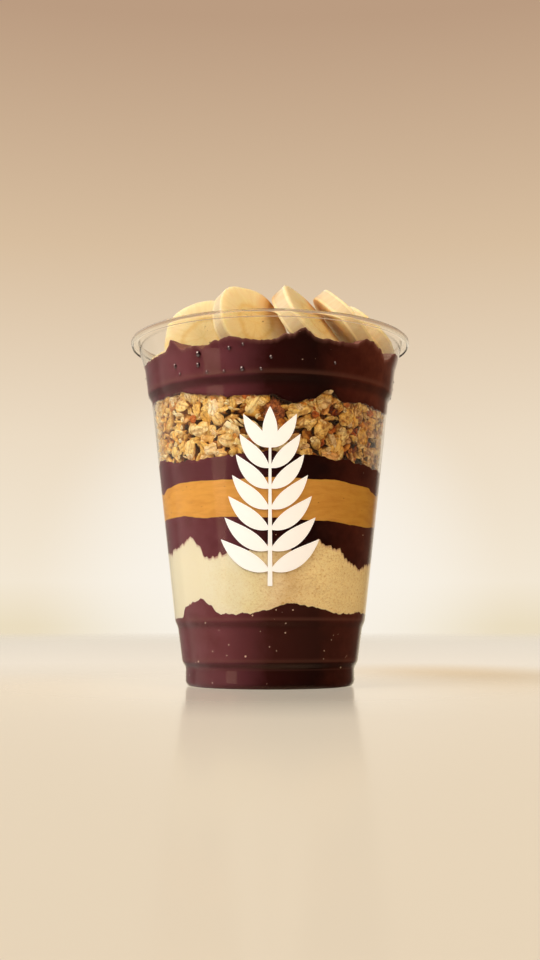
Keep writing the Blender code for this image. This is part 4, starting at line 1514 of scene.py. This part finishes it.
# %% Model a bead, copy it and join the beads
BEADS = (
    (-32.1, 107.7, 0.90), (-32.5, 104.2, 0.70), (-45.9, 105.2, 0.65), (-43.2, 102.3, 0.42),
    (-17.4, 108.6, 0.58), (-11.3, 109.5, 0.46), (0.4, 105.3, 0.55), (-28.2, 101.6, 0.52),
    (-12.0, 101.8, 0.74), (-3.8, 101.6, 0.52), (28.9, 104.5, 0.46), (-20.1, 101.4, 0.44),
)
BEAD_SEED = 5
FAR_BEADS = 26
FAR_BEAD_LIMITS = ((85.0, 275.0), (99.0, 108.0), (0.25, 0.48))
BEAD_SHAPE = np.array((1.0, 1.08, 0.66))
bead_draw = random.Random(BEAD_SEED)
far_beads = [[bead_draw.uniform(*limits) for limits in FAR_BEAD_LIMITS] for _ in range(FAR_BEADS)]

bpy.ops.mesh.primitive_uv_sphere_add(segments=14, ring_count=9, radius=MM)
bead_model = bpy.context.object


def bead(angle, height, radius):
    """A bead standing on the outer skin, two thirds as deep as it is wide."""
    copy = new_copy(bead_model, "bead")
    outwards, on_wall = wall_frame(angle)
    points = read_points(copy) * radius * BEAD_SHAPE @ np.array(on_wall).T
    move_points(copy, points + np.array(outwards * float(wall_radius(height)) + UP * height))
    return copy


beads = joined([bead(*row) for row in [*BEADS, *far_beads]], "condensation_beads")
bpy.data.objects.remove(bead_model, do_unlink=True)

water, add, place = new_material("water_beads")
film = add("TexNoise", place, Scale=per_mm(0.6))
trembling = add("Bump", Strength=0.1, Distance=0.05 * MM, Height=film)
skin = add("NewGeometry")
facing = skin.outputs["Normal"]
outwards = add("VectorMath.NORMALIZE", add("VectorMath.MULTIPLY", place, (1.0, 1.0, 0.0)))
standing_out = add("VectorMath.DOT_PRODUCT", facing, outwards)
# A painted dark rim, which tints the light that passes the bead's edge.
painted_dark_rim = add("ValToRGB", standing_out, stops=[(0.30, "2E1416"), (0.80, "FFFFFF")])


def faced_towards(lean):
    """How far the skin faces straight out of the cup plus a lean, from -1 to 1."""
    leaned = add("VectorMath.NORMALIZE", add("VectorMath.ADD", outwards, lean))
    return add("VectorMath.DOT_PRODUCT", facing, leaned)


# A painted highlight on the lit side and a faint painted glow on the other.
towards_light = faced_towards((-0.20, -0.25, 0.60))
painted_glint = add("MapRange.SMOOTHSTEP", towards_light, 0.93, 0.985)
from_light = faced_towards((0.30, 0.0, -0.90))
painted_gathered_glow = add("MapRange.SMOOTHSTEP", from_light, 0.65, 1.0, 0.0, 0.14)
brightness = add("Math.MAXIMUM", painted_glint, painted_gathered_glow)
outer_side = add("Math.SUBTRACT", 1.0, skin.outputs["Backfacing"])
painted_shine = add("Math.MULTIPLY", brightness, outer_side)
drop = add(
    "BsdfPrincipled", Roughness=0.01, IOR=1.33, Transmission_Weight=1.0, Emission_Color="FFD9CC",
    Normal=trembling, Base_Color=painted_dark_rim, Emission_Strength=painted_shine,
)
add("OutputMaterial", drop)
finish_piece(beads, water, "clear_plastic")

# %% [markdown]
# ## The print on the cup
# Such a cup carries a print in opaque white ink. Here it is a plain spray of leaves, upright and
# symmetric, drawn on the outer skin. A leaf is a flat grid, shaped by moving its points: its
# outline swells and closes, its midrib is left free of ink, and the whole leaf is wrapped on the
# wall, a few hundredths of a millimetre proud, as screen ink is.

# %% Shape one leaf and wrap it on the wall
INK_PROUD = 0.05
LEAF_ALONG = 26
LEAF_ACROSS = 8
RIB_GAP = 0.35


def wrap(piece, across, height):
    """Wraps flat places, mm to the right of the middle and mm up, on the cup's outer skin."""
    radius = wall_radius(height) + INK_PROUD
    turn = across / radius
    move_points(piece, np.stack([radius * np.sin(turn), -radius * np.cos(turn), height], axis=1))


def leaf(base_point, heading, length, width, bend):
    """A leaf from its base, heading in degrees from straight up, arching by bend degrees."""
    bpy.ops.mesh.primitive_grid_add(x_subdivisions=LEAF_ALONG, y_subdivisions=LEAF_ACROSS + 1, size=1.0)
    piece = bpy.context.object
    piece.name = "leaf"
    grid = read_points(piece) * MM
    along = grid[:, 0] + 0.5
    beside = grid[:, 1] * 2.0
    half = width / 2 * np.sin(math.pi * along**0.8) ** 0.9
    rib = RIB_GAP / 2 * (1.0 - along)
    offset = np.sign(beside) * (rib + (np.abs(beside)) * np.maximum(half - rib, 0.0))
    direction = np.radians(heading + bend * (along - 0.5))
    arched = np.radians(heading + bend * (along * 0.5 - 0.5))
    middle_x = base_point[0] + length * along * np.sin(arched)
    middle_z = base_point[1] + length * along * np.cos(arched)
    wrap(piece, middle_x + offset * np.cos(direction), middle_z - offset * np.sin(direction))
    return piece


print("a leaf has", LEAF_ALONG * LEAF_ACROSS, "faces")

# %% Compose the spray
STEM_LOW, STEM_HIGH = 33.0, 78.0
STEM_WIDTH, STEM_TAPER = 1.5, 0.7
LEAVES_FROM, LEAVES_TO = 38.0, 77.0
LEAF_PAIRS = 7
LEAF_LENGTH, LEAF_SHORTER = 19.0, 5.5
LEAF_WIDTH, LEAF_SLIMMER = 5.6, 1.2
LEAF_LEAN, LEAF_STEEPER = 58.0, 20.0
LEAF_BEND = 26.0

bpy.ops.mesh.primitive_grid_add(x_subdivisions=2, y_subdivisions=60, size=1.0)
stem = bpy.context.object
grid = read_points(stem) * MM
stem_height = STEM_LOW + (STEM_HIGH - STEM_LOW) * (grid[:, 1] + 0.5)
wrap(stem, grid[:, 0] * (STEM_WIDTH - STEM_TAPER * (grid[:, 1] + 0.5)), stem_height)

leaves = []
for pair in range(LEAF_PAIRS):
    share = pair / (LEAF_PAIRS - 1)
    foot = LEAVES_FROM + (LEAVES_TO - LEAVES_FROM) * share
    length = LEAF_LENGTH - LEAF_SHORTER * share
    width = LEAF_WIDTH - LEAF_SLIMMER * share
    for side in (-1, 1):
        heading = side * (LEAF_LEAN - LEAF_STEEPER * share)
        leaves.append(leaf((side * 0.3, foot), heading, length, width, -side * LEAF_BEND))
leaves.append(leaf((0.0, LEAVES_TO), 0.0, 13.0, 4.8, 0.0))
print(len(leaves), "leaves on the spray")

# %% Give the ink its thickness and its finish
INK_FILM = 0.03
spray = joined([stem, *leaves], "printed_leaf_spray")
take(spray)
film = spray.modifiers.new("ink_film", "SOLIDIFY")
film.thickness = INK_FILM * MM
film.offset = 1.0
bpy.ops.object.modifier_apply(modifier=film.name)

ink, add, place = new_material("white_screen_ink")
mesh_marks = add("TexNoise", place, Scale=per_mm(0.8), Detail=2.0)
# The bluish white and the faint glow below are painted light, which keep the ink white under the warm,
# dim front; the mesh marks are the screen's.
ink_tone = add("ValToRGB", mesh_marks, stops=[(0.3, "F1F4FA"), (0.7, "FBFDFF")])
ink_bumps = add("Bump", Strength=0.15, Distance=0.05 * MM, Height=mesh_marks)
ink_shader = add(
    "BsdfPrincipled", Roughness=0.55, IOR=1.5, Emission_Color="F4F6FF", Emission_Strength=0.15,
    Base_Color=ink_tone, Normal=ink_bumps,
)
add("OutputMaterial", ink_shader)
finish_piece(spray, ink, "clear_plastic")

# %% [markdown]
# ## Finish
# The last step measures the dressed object and prints its size beside that of the plain solids' box.

# %% Measure and finish
visual_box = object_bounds()
for name, box in (("solids", cad_box), ("dressed", visual_box)):
    print(name, [round((box[1][i] - box[0][i]) / MM, 1) for i in range(3)], "mm")
